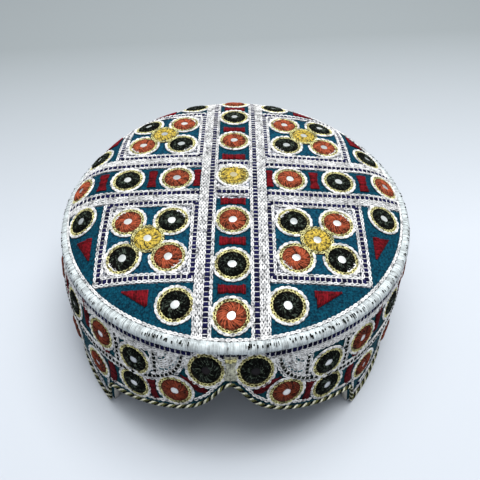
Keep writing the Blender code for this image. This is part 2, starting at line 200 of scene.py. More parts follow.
# Areas of the grounds, in millimetres from the crown's middle and the fan's corner
ARM_GROUND_HALF = 8.1
ARM_GROUND_START = 14.2
SQUARE_GROUND = (19.0, 56.6)
SQUARE_CROSS_HALF = 9.6
SEGMENT_GROUND = (16.3, 61.2)
FAN_GROUND_RADIUS = 11.5

# Lines of stitches on the crown, as distances from its middle
CROWN_LINE_END = 0.0872
CROWN_EDGE_CHAIN = 0.0868
# The dark thread at this distance is painted shade between the crown and the piping.
EDGE_SHADOW_ARC = 0.0873
STRIP_CHAINS = (0.0088, 0.0124, 0.0139, 0.0154)
STRIP_CHAIN_START = 0.0168
STRIP_DASHES = 0.0106
STRIP_DASH_START = 0.0160
CENTRE_ROWS = (-0.0070, -0.0085, -0.0122, 0.0092, 0.0078, 0.0128)
CENTRE_ROW_HALF = 0.0076
CENTRE_DASH_HALF = 0.0075
CENTRE_DASH_ROW = 0.0104
CENTRE_DASH_BACK = 0.0006
SQUARE_DASHES = (0.0170, 0.0587)
SQUARE_CHAINS = (0.0186, 0.0571)
SEGMENT_CHAIN = 0.0603
SEGMENT_CHAIN_START = 0.0165
# Slanted lines across a square's corners: place from the flower's middle, reach and shift of each
PETAL_CORNER = 0.0162
PETAL_CORNER_REACH = 0.0042
PETAL_CORNER_SHIFTS = (0.0, 0.0014)
# Red bars across the arms, as place and depth, and the corners of the segments' red triangles
ARM_BAR_LENGTH = 0.0118
ARM_BARS = ((0.0163, 0.0046), (0.0401, 0.0046), (0.0645, 0.0046))
FIRST_SIDE_BAR = (0.0179, 0.0036)
BACK_BAR_SHIFT = 0.0018
SEGMENT_TRIANGLE = ((0.0352, 0.0642), (0.0356, 0.0722), (0.0476, 0.0642))

# Lines of stitches on the band, as distances below its top or above the rim
TOP_DASH_DROP = 0.0001
TOP_CHAIN_DROPS = (0.0016, 0.0027, 0.0038)
UPRIGHT_ANGLES = (20.7, 33.3)
RIM_CHAIN_RISE = 0.0032
HEM_CHAINS = (0.0046, 0.0086)
HEM_DASHES = 0.0066
HEM_START_ANGLE = 47.0
DIVIDER_DASH_REACH = 0.0070
# Length, depth and waist of the red bars round the back
BACK_BAR = (0.0090, 0.0032, 0.0024)
FAN_ARCS = 11
FAN_FIRST_RADIUS = 0.0010
FAN_SPACING = 0.00105
FAN_LAST_ANGLE = 19.4
FAN_ABOVE_DIVIDER = 0.0026
FAN_REACH = 0.0084
# Red patches of the front's two rows: corners by angle and height in millimetres
BAND_PATCHES = (
    ((36.2, 34.6), (38.6, 33.2), (38.4, 28.0), (39.4, 21.5), (37.2, 20.8), (35.8, 28.0)),
    ((21.2, 40.2), (24.4, 38.0), (23.4, 33.0), (22.8, 28.8), (20.4, 28.6), (21.4, 33.5)),
    ((13.4, 47.6), (10.8, 47.4), (6.4, 43.4), (6.0, 40.2), (9.4, 40.6), (10.6, 43.4)),
    ((45.2, 56.5), (48.2, 56.5), (47.6, 42.5), (45.8, 42.5)),
    ((37.0, 39.8), (40.6, 39.8), (39.8, 38.0), (37.8, 38.0)),
)

# Soft lights: name, place, width, power and colour
LIGHTS = (
    ("key", (0.16, 0.16, 1.0), 0.7, 9.8, (1.0, 0.99, 0.97)),
    ("overhead", (-0.1, 0.1, 1.15), 1.0, 6.1, (0.98, 0.99, 1.0)),
)
LIGHT_TARGET = (0.0, 0.0, 0.05)
WORLD_COLOUR = (0.88, 0.93, 1.0, 1.0)
WORLD_STRENGTH = 0.34

# Camera: place in metres, direction, roll in degrees and focal length in millimetres
CAMERA_PLACE = (0.00128, -0.18197, 0.24051)
CAMERA_FORWARD = (0.00919, 0.65939, -0.75175)
CAMERA_ROLL = 1.227
CAMERA_LENS = 37.545


def linear(red, green, blue):
    """A screen colour of 0 to 255 as linear light."""
    shares = np.array([red, green, blue]) / 255.0
    light = np.where(shares > 0.04045, ((shares + 0.055) / 1.055) ** 2.4, shares / 12.92)
    return (*(float(value) for value in light), 1.0)


def length_property(name, description, default):
    """A size in metres that a user may change."""
    return bpy.props.FloatProperty(name=name, description=description, default=default, min=0.0,
                                   precision=5, subtype="DISTANCE", unit="LENGTH")


def colour_property(name, description, default):
    """A colour that a user may change."""
    return bpy.props.FloatVectorProperty(name=name, description=description, default=default, size=4,
                                         min=0.0, max=1.0, subtype="COLOR")


class CapThreadSizes(bpy.types.PropertyGroup):
    """Sizes of the cap's threads and stitches."""

    chain_pitch: length_property("Chain pitch", "Length of one chain stitch", 0.0024)
    chain_width: length_property("Chain width", "Width of one chain stitch", 0.0010)
    chain_thread: length_property("Chain thread", "Half the width of the chain's thread", 0.00034)
    dash_pitch: length_property("Dash pitch", "Distance from one running stitch to the next", 0.0023)
    dash_length: length_property("Dash length", "Length of one running stitch", 0.0017)
    dash_width: length_property("Dash width", "Width of one running stitch", 0.0019)
    satin_thread: length_property("Satin thread", "Distance between two threads of a satin patch", 0.0007)
    piping_thread: length_property("Piping thread", "Distance between two threads of the piping", 0.0008)
    cord_pitch: length_property("Cord pitch", "Length of one turn of the rim cord", 0.0046)


class CapColours(bpy.types.PropertyGroup):
    """Colours of the cap's cloths and threads."""

    white: colour_property("White", "White embroidery thread", linear(243, 248, 255))
    navy: colour_property("Navy", "Running stitches", linear(20, 21, 68))
    arm_teal: colour_property("Arm teal", "Ground of the crown's cross", linear(3, 54, 72))
    square_blue: colour_property("Square blue", "Ground of the crown's squares", linear(8, 60, 82))
    band_teal: colour_property("Band teal", "Ground of the side band", linear(6, 56, 68))
    red: colour_property("Red", "Satin patches", linear(112, 15, 25))
    orange: colour_property("Orange", "Thread round the orange mirrors", linear(136, 65, 42))
    black: colour_property("Black", "Thread round the black mirrors", linear(19, 23, 19))
    gold: colour_property("Gold", "Thread round the gold mirrors", linear(176, 153, 58))
    cream: colour_property("Cream", "Twisted thread round each roundel", linear(212, 192, 136))
    satin: colour_property("Satin", "Piping thread", linear(208, 217, 219))
    floor: colour_property("Floor", "The surface that the cap rests on", linear(202, 208, 216))


def sizes():
    """The scene's thread sizes."""
    return bpy.context.scene.cap_thread_sizes


def colours():
    """The scene's colours."""
    return bpy.context.scene.cap_colours


# Surfaces


def unit(vectors):
    """The vectors at length one."""
    return vectors / np.maximum(np.linalg.norm(vectors, axis=-1, keepdims=True), 1e-12)


def crown_slope(turn, arc):
    """Slope of the crown: a shallow dome's, plus a roll that grows evenly from ROLL_START to the edge."""
    share = arc / DOME_RADIUS
    dome = np.arctan((2 * DOME_FALL * share + 4 * DOME_EDGE_FALL * share ** 3) / DOME_RADIUS)
    roll = ROLL_MEAN - ROLL_BACK * np.cos(turn) - ROLL_SIDES * np.cos(2 * turn) - ROLL_LEFT * np.sin(turn)
    return dome + np.radians(roll) * np.maximum(arc - ROLL_START, 0.0) / (CROWN_EDGE_ARC - ROLL_START)


def crown_meridian(turn, arc):
    """Radius and fall that far along the cloth: the sums of the slope's cosine and sine on the way there."""
    near = np.minimum(arc, ROLL_START)[..., None]
    far = np.maximum(arc - ROLL_START, 0.0)[..., None]
    steps = (GAUSS_PLACES + 1) / 2
    first = crown_slope(turn[..., None], near * steps)
    second = crown_slope(turn[..., None], ROLL_START + far * steps)
    radius = (np.cos(first) * near + np.cos(second) * far) @ GAUSS_WEIGHTS / 2
    fall = (np.sin(first) * near + np.sin(second) * far) @ GAUSS_WEIGHTS / 2
    return radius, fall


def pattern_shift(x):
    """How far the pattern is stretched out and drawn back: the fifth and fourth power of its way aside."""
    share = x / PATTERN_REACH
    return PATTERN_STRETCH * share ** 5, PATTERN_BACK * share ** 4 + PATTERN_BACK_RIGHT * share ** 5


def crown_face(x, y):
    """The crown's upper face by places in its pattern, which is shifted a little along the cloth."""
    right, back = pattern_shift(x)
    return crown_cloth(x + right, y + back)


def crown_cloth(x, y):
    """The crown's upper face: polar, with x and y the distances along the cloth right and back."""
    turn = np.arctan2(x, -y)
    radius, fall = crown_meridian(turn, np.hypot(x, y))
    return np.stack([radius * np.sin(turn), AXIS_Y - radius * np.cos(turn), CAP_HEIGHT - fall], -1)


def seam(turn):
    """Radius, height and slope of the crown's edge."""
    arc = np.full_like(turn, CROWN_EDGE_ARC)
    radius, fall = crown_meridian(turn, arc)
    return radius, CAP_HEIGHT - fall, crown_slope(turn, arc)


def band_top(turn):
    """Height of the band's upper edge: a cloth and a gap below the crown's edge."""
    radius, height, slope = seam(turn)
    return height - CLOTH * np.cos(slope) - SEAM_GAP


def angle_from_front(turn):
    """Degrees from the front, the shorter way round."""
    return np.abs((np.degrees(turn) + 180.0) % 360.0 - 180.0)


def angles_round(arch, foot, behind):
    """Angles once round the cap: over the arch, down one foot, round the back and up the other foot.

    The three numbers are how many angles the arch, a foot and the back have.
    """
    return np.concatenate([
        np.linspace(-ARCH_FOOT_ANGLE, ARCH_FOOT_ANGLE, arch),
        np.linspace(ARCH_FOOT_ANGLE, ARCH_TIP_ANGLE, foot)[1:],
        np.linspace(ARCH_TIP_ANGLE, 360.0 - ARCH_TIP_ANGLE, behind)[1:],
        np.linspace(360.0 - ARCH_TIP_ANGLE, 360.0 - ARCH_FOOT_ANGLE, foot)[1:-1]])


def rim_height(turn):
    """Height of the band's lower edge: the arch in front, a slanted foot, then the floor."""
    return np.interp(angle_from_front(turn), ARCH_ANGLES, ARCH_HEIGHTS)


def band_wall(turn, height, outside=0.0):
    """The band's face: straight from seam circle to hem oval, bowed out by a parabola in between."""
    seam_radius = seam(turn)[0]
    down = 1.0 - height / band_top(turn)
    outside = outside + 4.0 * down * (1.0 - down) * BAND_FULLNESS * (BAND_FULL_RADIUS - seam_radius)
    upper = seam_radius + BAND_OUTSIDE_SEAM + outside
    x = np.sin(turn) * (upper * (1.0 - down) + (HEM_HALF_WIDTH + outside) * down)
    y = -np.cos(turn) * (upper * (1.0 - down) + (HEM_HALF_LENGTH + outside) * down) - HEM_FORWARD * down
    return np.stack([x, AXIS_Y + y, height], -1)


def band_face(x, y):
    """The band's outer face by distance round it and height."""
    return band_wall(x / BAND_SCALE, y)


def normals(face, x, y):
    """Outward direction of a face: the cross product of its two central differences."""
    along = face(x + STEP, y) - face(x - STEP, y)
    up = face(x, y + STEP) - face(x, y - STEP)
    return unit(np.cross(along, up))


def lifted(face, x, y, lift=0.0):
    """Points that far above a face along its outward direction, and the direction."""
    x, y, lift = np.broadcast_arrays(x, y, lift)
    out = normals(face, x, y)
    return face(x, y) + out * lift[..., None], out


def local_frame(face, x, y, tall=1.0):
    """A face with its own millimetre-true axes at a point.

    The two derivatives there are made square and of length one, so a circle stays a circle.
    """
    centre = np.array(x), np.array(y)
    along = (face(centre[0] + STEP, centre[1]) - face(centre[0] - STEP, centre[1])) / (2 * STEP)
    rise = (face(centre[0], centre[1] + STEP) - face(centre[0], centre[1] - STEP)) / (2 * STEP)
    stretch = np.linalg.norm(along)
    first = along / stretch
    lean = float(rise @ first)
    height = float(np.linalg.norm(rise - lean * first))

    def mapped(a, b):
        """The face's point that far along the two axes."""
        up = b * tall / height
        return face(x + (a - lean * up) / stretch, y + up)

    return mapped


# Mesh parts: points, four-cornered faces, a face's corners in thread coordinates, a tint and a slot


def part(points, faces, coordinates, tint, slot):
    """One part of a mesh."""
    faces = np.asarray(faces).reshape(-1, 4)
    points = np.asarray(points).reshape(-1, 3)
    tint = np.broadcast_to(tint, (len(points),))
    slots = np.full(len(faces), slot)
    return points, faces, np.asarray(coordinates).reshape(-1, 4, 2), tint, slots


def joined(parts):
    """Several parts as one."""
    starts = np.cumsum([0] + [len(piece[0]) for piece in parts[:-1]])
    faces = [piece[1] + start for piece, start in zip(parts, starts)]
    columns = [np.concatenate([piece[i] for piece in parts]) for i in (0, 2, 3, 4)]
    return columns[0], np.concatenate(faces), columns[1], columns[2], columns[3]


def tubes(centres, ups, wide, high, slot=0, sides=4, closed=False, tint=0.5):
    """Threads: an ellipse of half sizes wide and high carried along each row of centres.

    At a centre, the ellipse stands square to the path, with its high axis near the given up.
    """
    count, length = centres.shape[:2]
    if closed:
        tangent = unit(np.roll(centres, -1, 1) - np.roll(centres, 1, 1))
    else:
        tangent = unit(np.gradient(centres, axis=1))
    side = unit(np.cross(tangent, ups))
    up = np.cross(side, tangent)
    wide = np.broadcast_to(wide, (count, length))[..., None, None]
    high = np.broadcast_to(high, (count, length))[..., None, None]
    turn = 2 * np.pi * np.arange(sides) / sides
    ring = side[:, :, None] * np.cos(turn)[:, None] * wide + up[:, :, None] * np.sin(turn)[:, None] * high
    points = centres[:, :, None] + ring
    index = np.arange(count * length * sides).reshape(count, length, sides)
    here, there = (index, np.roll(index, -1, 1)) if closed else (index[:, :-1], index[:, 1:])
    faces = np.stack([here, there, np.roll(there, -1, 2), np.roll(here, -1, 2)], -1)
    steps = np.linalg.norm(np.diff(centres, axis=1), axis=-1) / MM
    far = np.concatenate([np.zeros((count, 1)), np.cumsum(steps, 1)], 1)
    if closed:
        start, stop = far, np.concatenate([far[:, 1:], far[:, -1:] + steps[:, :1]], 1)
    else:
        start, stop = far[:, :-1], far[:, 1:]
    round_share = np.arange(sides) / sides
    shape = faces.shape[:3]
    start = np.broadcast_to(start[..., None], shape)
    stop = np.broadcast_to(stop[..., None], shape)
    low = np.broadcast_to(round_share, shape)
    coordinates = np.stack([
        np.stack([start, low], -1), np.stack([stop, low], -1),
        np.stack([stop, low + 1 / sides], -1), np.stack([start, low + 1 / sides], -1)], -2)
    faces = faces.reshape(-1, 4)
    coordinates = coordinates.reshape(-1, 4, 2)
    if not closed:
        caps = [(0, k, k + 1, k + 2) for k in range(1, sides - 2, 2)]
        first = index[:, 0][:, caps].reshape(-1, 4)
        last = index[:, -1][:, caps].reshape(-1, 4)[:, ::-1]
        faces = np.concatenate([faces, first, last])
        coordinates = np.concatenate([coordinates, np.zeros((len(first) + len(last), 4, 2))])
    tint = np.broadcast_to(np.asarray(tint, float).reshape(-1, 1), (count, length * sides)).ravel()
    return part(points, faces, coordinates, tint, slot)


def sheet_part(points, coordinates, slot=0, closed=(False, False), tint=0.5):
    """A grid of points as one sheet, joined to itself along the closed directions."""
    rows, columns = points.shape[:2]
    index = np.arange(rows * columns).reshape(rows, columns)
    rows_next = np.roll(index, -1, 0) if closed[0] else index[1:]
    here = index if closed[0] else index[:-1]
    if closed[1]:
        faces = np.stack([here, np.roll(here, -1, 1), np.roll(rows_next, -1, 1), rows_next], -1)
    else:
        faces = np.stack([here[:, :-1], here[:, 1:], rows_next[:, 1:], rows_next[:, :-1]], -1)
    flat = coordinates.reshape(-1, 2)
    return part(points, faces, flat[faces.reshape(-1, 4)], tint, slot)


def turned_out(piece):
    """A closed part with its faces turned outwards, where its signed volume says they point in."""
    points, faces, coordinates, tint, slots = piece
    corners = points[faces]
    volume = np.einsum("ij,ij->", corners[:, 0], np.cross(corners[:, 1], corners[:, 2]))
    volume += np.einsum("ij,ij->", corners[:, 0], np.cross(corners[:, 2], corners[:, 3]))
    if volume < 0:
        faces = faces[:, ::-1]
        coordinates = coordinates[:, ::-1]
    return points, faces, coordinates, tint, slots


def add_piece(name, parts, materials, nodes=()):
    """An object of the parts at the origin, riding on the cap."""
    points, faces, coordinates, tint, slots = joined(parts)
    mesh = bpy.data.meshes.new(name)
    mesh.vertices.add(len(points))
    mesh.vertices.foreach_set("co", points.astype(np.float32).ravel())
    mesh.loops.add(faces.size)
    mesh.loops.foreach_set("vertex_index", faces.astype(np.int32).ravel())
    mesh.polygons.add(len(faces))
    mesh.polygons.foreach_set("loop_start", np.arange(0, faces.size, 4, dtype=np.int32))
    mesh.polygons.foreach_set("material_index", slots.astype(np.int32))
    mesh.polygons.foreach_set("use_smooth", np.ones(len(faces), dtype=bool))
    mesh.uv_layers.new(name="thread").data.foreach_set("uv", coordinates.astype(np.float32).ravel())
    mesh.attributes.new("tint", "FLOAT", "POINT").data.foreach_set("value", tint.astype(np.float32))
    mesh.update(calc_edges=True)
    if mesh.validate():
        raise RuntimeError(f"{name}: the mesh had faces that don't close")
    for material in materials:
        mesh.materials.append(material)
    thing = bpy.data.objects.new(name, mesh)
    bpy.context.scene.collection.objects.link(thing)
    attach(thing, "root")
    if nodes:
        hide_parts(*nodes)


# Materials


class Nodes:
    """Short calls for a material's nodes."""

    def __init__(self, name):
        """Start a new material of that name."""
        self.material = bpy.data.materials.new(name)
        self.material.use_nodes = True
        self.tree = self.material.node_tree
        self.shader = self.tree.nodes["Principled BSDF"]

    def new(self, kind, **values):
        """A node of that kind, with its settings."""
        node = self.tree.nodes.new(kind)
        for key, value in values.items():
            setattr(node, key, value)
        return node

    def link(self, source, target):
        """Join two sockets."""
        self.tree.links.new(source, target)

    def feed(self, socket, value):
        """Give a socket another node's result or a plain value."""
        if isinstance(value, bpy.types.NodeSocket):
            self.link(value, socket)
        else:
            socket.default_value = value

    def maths(self, operation, *values):
        """The result of one operation on numbers."""
        node = self.new("ShaderNodeMath", operation=operation)
        for socket, value in zip(node.inputs, values):
            self.feed(socket, value)
        return node.outputs[0]

    def mix(self, share, first, second, blend="MIX"):
        """Two colours mixed by a share of the second."""
        node = self.new("ShaderNodeMix", data_type="RGBA", blend_type=blend)
        self.feed(node.inputs[0], share)
        self.feed(node.inputs[6], first)
        self.feed(node.inputs[7], second)
        return node.outputs[2]

    def noise(self, scale, detail=2.0):
        """Clouds of noise fixed to the object."""
        node = self.new("ShaderNodeTexNoise")
        node.inputs["Scale"].default_value = scale
        node.inputs["Detail"].default_value = detail
        self.link(self.place(), node.inputs["Vector"])
        return node.outputs["Fac"]

    def place(self):
        """Object coordinates."""
        return self.new("ShaderNodeTexCoord").outputs["Object"]

    def thread(self):
        """Millimetres along the thread or pattern, and round or across it."""
        node = self.new("ShaderNodeUVMap")
        node.uv_map = "thread"
        split = self.new("ShaderNodeSeparateXYZ")
        self.link(node.outputs["UV"], split.inputs[0])
        return split.outputs[0], split.outputs[1]

    def tint(self):
        """The stitch's own shade."""
        node = self.new("ShaderNodeAttribute", attribute_name="tint")
        return node.outputs["Fac"]

    def ramp(self, value, low, high):
        """A value stretched from low and high to nought and one."""
        node = self.new("ShaderNodeMapRange")
        self.feed(node.inputs["Value"], value)
        node.inputs["From Min"].default_value = low
        node.inputs["From Max"].default_value = high
        return node.outputs["Result"]

    def bump(self, height, strength, distance):
        """Fine relief."""
        node = self.new("ShaderNodeBump")
        node.inputs["Strength"].default_value = strength
        node.inputs["Distance"].default_value = distance
        self.link(height, node.inputs["Height"])
        self.link(node.outputs["Normal"], self.shader.inputs["Normal"])

    def finish(self, roughness, sheen=0.0, metallic=0.0, specular=0.4):
        """The finished material, with its constant values on the shader's own sockets."""
        self.shader.inputs["Roughness"].default_value = roughness
        self.shader.inputs["Sheen Weight"].default_value = sheen
        self.shader.inputs["Sheen Roughness"].default_value = 0.4
        self.shader.inputs["Metallic"].default_value = metallic
        self.shader.inputs["Specular IOR Level"].default_value = specular
        return self.material


def shade(colour, factor):
    """The colour made lighter or darker."""
    return (*(min(channel * factor, 1.0) for channel in colour[:3]), 1.0)


def thread_material(name, colour, dark=0.6, light=1.25, speckle=0.25, rare=1.0, roughness=0.75, sheen=0.0,
                    twist=0.55, specular=0.12):
    """Twisted thread: a slanted ripple along it, which also darkens the twist's grooves as painted shade,
    lighter and darker stitches, and speckles of noise.

    The share of the light tone is raised to a power: above one, light specks are rare.
    """
    known = bpy.data.materials.get(name)
    if known:
        return known
    nodes = Nodes(name)
    far, around = nodes.thread()
    phase = nodes.maths("ADD", nodes.maths("MULTIPLY", far, FULL_TURN / twist),
                        nodes.maths("MULTIPLY", around, FULL_TURN))
    ripple = nodes.maths("SINE", phase)
    cloud = nodes.ramp(nodes.noise(900.0), 0.37, 0.63)
    share = nodes.maths("ADD", nodes.maths("MULTIPLY", nodes.tint(), 1.0 - speckle),
                        nodes.maths("MULTIPLY", cloud, speckle))
    # The twist's ripple darkens the colour in its grooves: painted shade.
    twist_shaded_share = nodes.maths("MULTIPLY_ADD", ripple, 0.08, share)
    lit = nodes.maths("POWER", nodes.ramp(twist_shaded_share, 0.1, 0.9), rare)
    tone = nodes.mix(lit, shade(colour, dark), shade(colour, light))
    nodes.link(tone, nodes.shader.inputs["Base Color"])
    nodes.bump(nodes.maths("ADD", ripple, nodes.maths("MULTIPLY", cloud, 0.5)), 0.5, 0.00006)
    return nodes.finish(roughness, sheen, 0.0, specular)


def white_thread():
    """White embroidery thread, bright with a few dark flecks."""
    return thread_material("white_embroidery", tuple(colours().white), dark=0.1, light=1.3, speckle=0.46,
                           rare=0.55)


def navy_thread():
    """Navy thread of the running stitches."""
    return thread_material("navy_embroidery", tuple(colours().navy), dark=0.3, light=1.4)


def red_thread():
    """Red thread of the crown's patches."""
    return thread_material("red_embroidery", tuple(colours().red), dark=0.35, light=1.6, speckle=0.55)


def shaded_red_thread():
    """Red thread of the band's patches, darker than the crown's as painted shade of the band."""
    return thread_material("shaded_red_embroidery", linear(88, 18, 26), dark=0.3, light=1.7, speckle=0.5)


def orange_thread():
    """Orange thread round the crown's mirrors."""
    return thread_material("orange_embroidery", tuple(colours().orange), dark=0.08, light=2.1, speckle=0.42)


def shaded_orange_thread():
    """Orange thread round the band's mirrors, darker than the crown's as painted shade of the band."""
    return thread_material("rust_embroidery", linear(100, 43, 28), dark=0.1, light=2.1, speckle=0.4)


def black_thread():
    """Black thread with rare light specks, which are painted glints."""
    # The rare light tone is a painted glint.
    return thread_material("black_embroidery", tuple(colours().black), dark=0.1, light=12.0, speckle=0.6,
                           rare=5.0, specular=0.06)


def gold_thread():
    """Gold thread, a little shiny."""
    return thread_material("gold_embroidery", tuple(colours().gold), dark=0.06, light=1.9, speckle=0.65,
                           roughness=0.5, specular=0.3)


def cream_thread():
    """Gilt cream thread of the chains round the roundels."""
    return thread_material("cream_embroidery", tuple(colours().cream), dark=0.08, light=1.8, speckle=0.55,
                           specular=0.2)


def brown_gap_shade_thread():
    """Brown thread with painted shade, the dark strip that shows at the ring's foot and between the gilt
    chain's links.
    """
    return thread_material("brown_gap_shade_embroidery", linear(92, 62, 34), dark=0.25, light=1.8)


def cord_gold_thread():
    """Dull gold thread of the rim cord."""
    return thread_material("cord_gold_embroidery", linear(86, 88, 52), dark=0.15, light=1.8, speckle=0.6)


def teal_thread():
    """Teal thread between the fans' arcs."""
    return thread_material("teal_embroidery", linear(24, 100, 112), dark=0.5, light=1.4)


def painted_reflection_glass(name="painted_reflection_glass", dull=linear(140, 148, 152), bright=linear(230, 234, 230)):
    """A small mirror whose reflection is painted: bright, a little uneven, some of them duller."""
    known = bpy.data.materials.get(name)
    if known:
        return known
    nodes = Nodes(name)
    cloud = nodes.noise(420.0)
    share = nodes.maths("MULTIPLY_ADD", nodes.tint(), 0.6, nodes.maths("MULTIPLY", cloud, 0.4))
    # The mixed tone is the mirror's painted reflection.
    tone = nodes.mix(share, dull, bright)
    nodes.link(tone, nodes.shader.inputs["Base Color"])
    nodes.bump(cloud, 0.25, 0.0002)
    return nodes.finish(0.3, metallic=0.15, specular=0.7)


def gold_reflection_glass():
    """The small mirrors in gold thread, with the thread's colour as a painted reflection."""
    return painted_reflection_glass("gold_reflection_glass", linear(140, 130, 90), linear(188, 181, 148))


def bright_reflection_glass():
    """The band's upright mirrors, with the bright room as a painted reflection."""
    return painted_reflection_glass("bright_reflection_glass", linear(170, 178, 184), linear(255, 255, 255))


def dark_reflection_glass():
    """A mirror that turns away from the light, with its dark reflection painted in."""
    known = bpy.data.materials.get("dark_reflection_glass")
    if known:
        return known
    nodes = Nodes("dark_reflection_glass")
    cloud = nodes.noise(260.0)
    # Near-black tones: a painted dark reflection.
    tone = nodes.mix(cloud, linear(12, 14, 18), linear(34, 24, 28))
    nodes.link(tone, nodes.shader.inputs["Base Color"])
    nodes.bump(cloud, 0.25, 0.0002)
    return nodes.finish(0.5, metallic=0.0, specular=0.12)


def stitched_ground(nodes, tone, across, along):
    """Fine rows of stitches: a wavering ripple across the rows, broken up by noise, as bump and shade."""
    cloud = nodes.noise(1100.0, 3.0)
    broad = nodes.noise(240.0, 2.0)
    waver = nodes.maths("MULTIPLY_ADD", broad, 7.0, nodes.maths("MULTIPLY", across, FULL_TURN / 0.8))
    rows = nodes.maths("SINE", waver)
    beads = nodes.maths("SINE", nodes.maths("MULTIPLY_ADD", cloud, 6.0,
                                            nodes.maths("MULTIPLY", along, FULL_TURN / 1.1)))
    weave = nodes.maths("MULTIPLY_ADD", rows, 0.12, nodes.maths("MULTIPLY_ADD", beads, 0.12, cloud))
    nodes.bump(weave, 0.8, 0.00025)
    flecks = nodes.ramp(nodes.noise(1050.0, 2.0), 0.34, 0.66)
    share = nodes.maths("MULTIPLY_ADD", flecks, 0.6, nodes.maths("MULTIPLY", broad, 0.4))
    darker = nodes.mix(1.0, tone, (0.30, 0.36, 0.42, 1.0), "MULTIPLY")
    lighter = nodes.mix(1.0, tone, (1.80, 1.65, 1.55, 1.0), "MULTIPLY")
    return nodes.mix(nodes.ramp(share, 0.2, 0.8), darker, lighter)


def crown_ground():
    """The crown's ground: teal arms, blue squares and edge segments, and white borders between them, mottled
    with near-black as painted shade between their chain threads.

    Each area is where the nearer and the farther of the two distances from the middle are within bounds.
    """
    nodes = Nodes("crown_ground")
    x, y = nodes.thread()
    right = nodes.maths("ABSOLUTE", x)
    back = nodes.maths("ABSOLUTE", y)
    near = nodes.maths("MINIMUM", right, back)
    far = nodes.maths("MAXIMUM", right, back)
    centre = SQUARE_CENTRE / MM
    petal = nodes.maths("MINIMUM", nodes.maths("ABSOLUTE", nodes.maths("SUBTRACT", right, centre)),
                        nodes.maths("ABSOLUTE", nodes.maths("SUBTRACT", back, centre)))
    arm = nodes.maths("MULTIPLY", nodes.maths("LESS_THAN", near, ARM_GROUND_HALF),
                      nodes.maths("GREATER_THAN", far, ARM_GROUND_START))
    inside = nodes.maths("MULTIPLY", nodes.maths("GREATER_THAN", near, SQUARE_GROUND[0]),
                         nodes.maths("LESS_THAN", far, SQUARE_GROUND[1]))
    square = nodes.maths("MULTIPLY", inside, nodes.maths("LESS_THAN", petal, SQUARE_CROSS_HALF))
    segment = nodes.maths("MULTIPLY", nodes.maths("GREATER_THAN", near, SEGMENT_GROUND[0]),
                          nodes.maths("GREATER_THAN", far, SEGMENT_GROUND[1]))
    cloud = nodes.noise(900.0)
    # Under the white borders the ground is mottled near-black: painted shade in the gaps between the chain
    # threads.
    white = nodes.mix(nodes.ramp(cloud, 0.42, 0.64), linear(34, 38, 50), linear(210, 217, 228))
    palette = colours()
    tone = nodes.mix(arm, white, tuple(palette.arm_teal))
    tone = nodes.mix(square, tone, tuple(palette.square_blue))
    tone = nodes.mix(segment, tone, shade(tuple(palette.arm_teal), 1.1))
    nodes.link(stitched_ground(nodes, tone, x, y), nodes.shader.inputs["Base Color"])
    return nodes.finish(0.9, specular=0.1)


def band_ground():
    """The band's ground of teal stitches, paler within a circle round each fan's corner."""
    nodes = Nodes("band_ground")
    x, y = nodes.thread()
    tone = nodes.mix(nodes.noise(120.0), tuple(colours().band_teal), shade(tuple(colours().band_teal), 1.3))
    fan_x, fan_y = np.array(band_point(*FAN_CORNER)) / MM
    aside = nodes.maths("SUBTRACT", nodes.maths("ABSOLUTE", x), fan_x)
    below = nodes.maths("SUBTRACT", y, fan_y)
    reach = nodes.maths("SQRT", nodes.maths("ADD", nodes.maths("MULTIPLY", aside, aside),
                                            nodes.maths("MULTIPLY", below, below)))
    near = nodes.maths("LESS_THAN", reach, FAN_GROUND_RADIUS)
    fan = nodes.maths("MULTIPLY", near, nodes.maths("LESS_THAN", aside, 0.0))
    tone = nodes.mix(fan, tone, linear(150, 152, 142))
    nodes.link(stitched_ground(nodes, tone, y, x), nodes.shader.inputs["Base Color"])
    return nodes.finish(0.9, specular=0.1)


def plain_cotton():
    """The plain woven cotton of the inside."""
    known = bpy.data.materials.get("plain_cotton")
    if known:
        return known
    nodes = Nodes("plain_cotton")
    x, y = nodes.thread()
    warp = nodes.maths("SINE", nodes.maths("MULTIPLY", x, FULL_TURN / 0.6))
    weft = nodes.maths("SINE", nodes.maths("MULTIPLY", y, FULL_TURN / 0.6))
    cloud = nodes.noise(300.0)
    tone = nodes.mix(cloud, linear(150, 148, 140), linear(205, 202, 194))
    nodes.link(tone, nodes.shader.inputs["Base Color"])
    nodes.bump(nodes.maths("MULTIPLY_ADD", nodes.maths("MULTIPLY", warp, weft), 0.5, cloud), 0.4, 0.0001)
    return nodes.finish(0.9, sheen=0.2, specular=0.2)


def piping_satin():
    """White satin thread laid across the piping, with fine ridges and a few grey threads."""
    nodes = Nodes("piping_satin")
    far, around = nodes.thread()
    ripple = nodes.maths("SINE", nodes.maths("MULTIPLY", far, FULL_TURN / 0.4))
    stripes = nodes.new("ShaderNodeTexNoise", noise_dimensions="1D")
    nodes.link(far, stripes.inputs["W"])
    stripes.inputs["Scale"].default_value = 3.6
    stripes.inputs["Detail"].default_value = 4.0
    cloud = nodes.noise(420.0)
    share = nodes.maths("MULTIPLY_ADD", stripes.outputs["Fac"], 0.6, nodes.maths("MULTIPLY", cloud, 0.4))
    share = nodes.maths("MULTIPLY_ADD", nodes.tint(), 0.14, nodes.maths("MULTIPLY", share, 0.93))
    tone = nodes.mix(nodes.ramp(share, 0.36, 0.62), shade(tuple(colours().satin), 0.26),
                     shade(tuple(colours().satin), 1.4))
    nodes.link(tone, nodes.shader.inputs["Base Color"])
    nodes.bump(nodes.maths("MULTIPLY_ADD", cloud, 0.8, ripple), 0.8, 0.00012)
    return nodes.finish(0.5, sheen=0.2, specular=0.45)


# Lines on a face


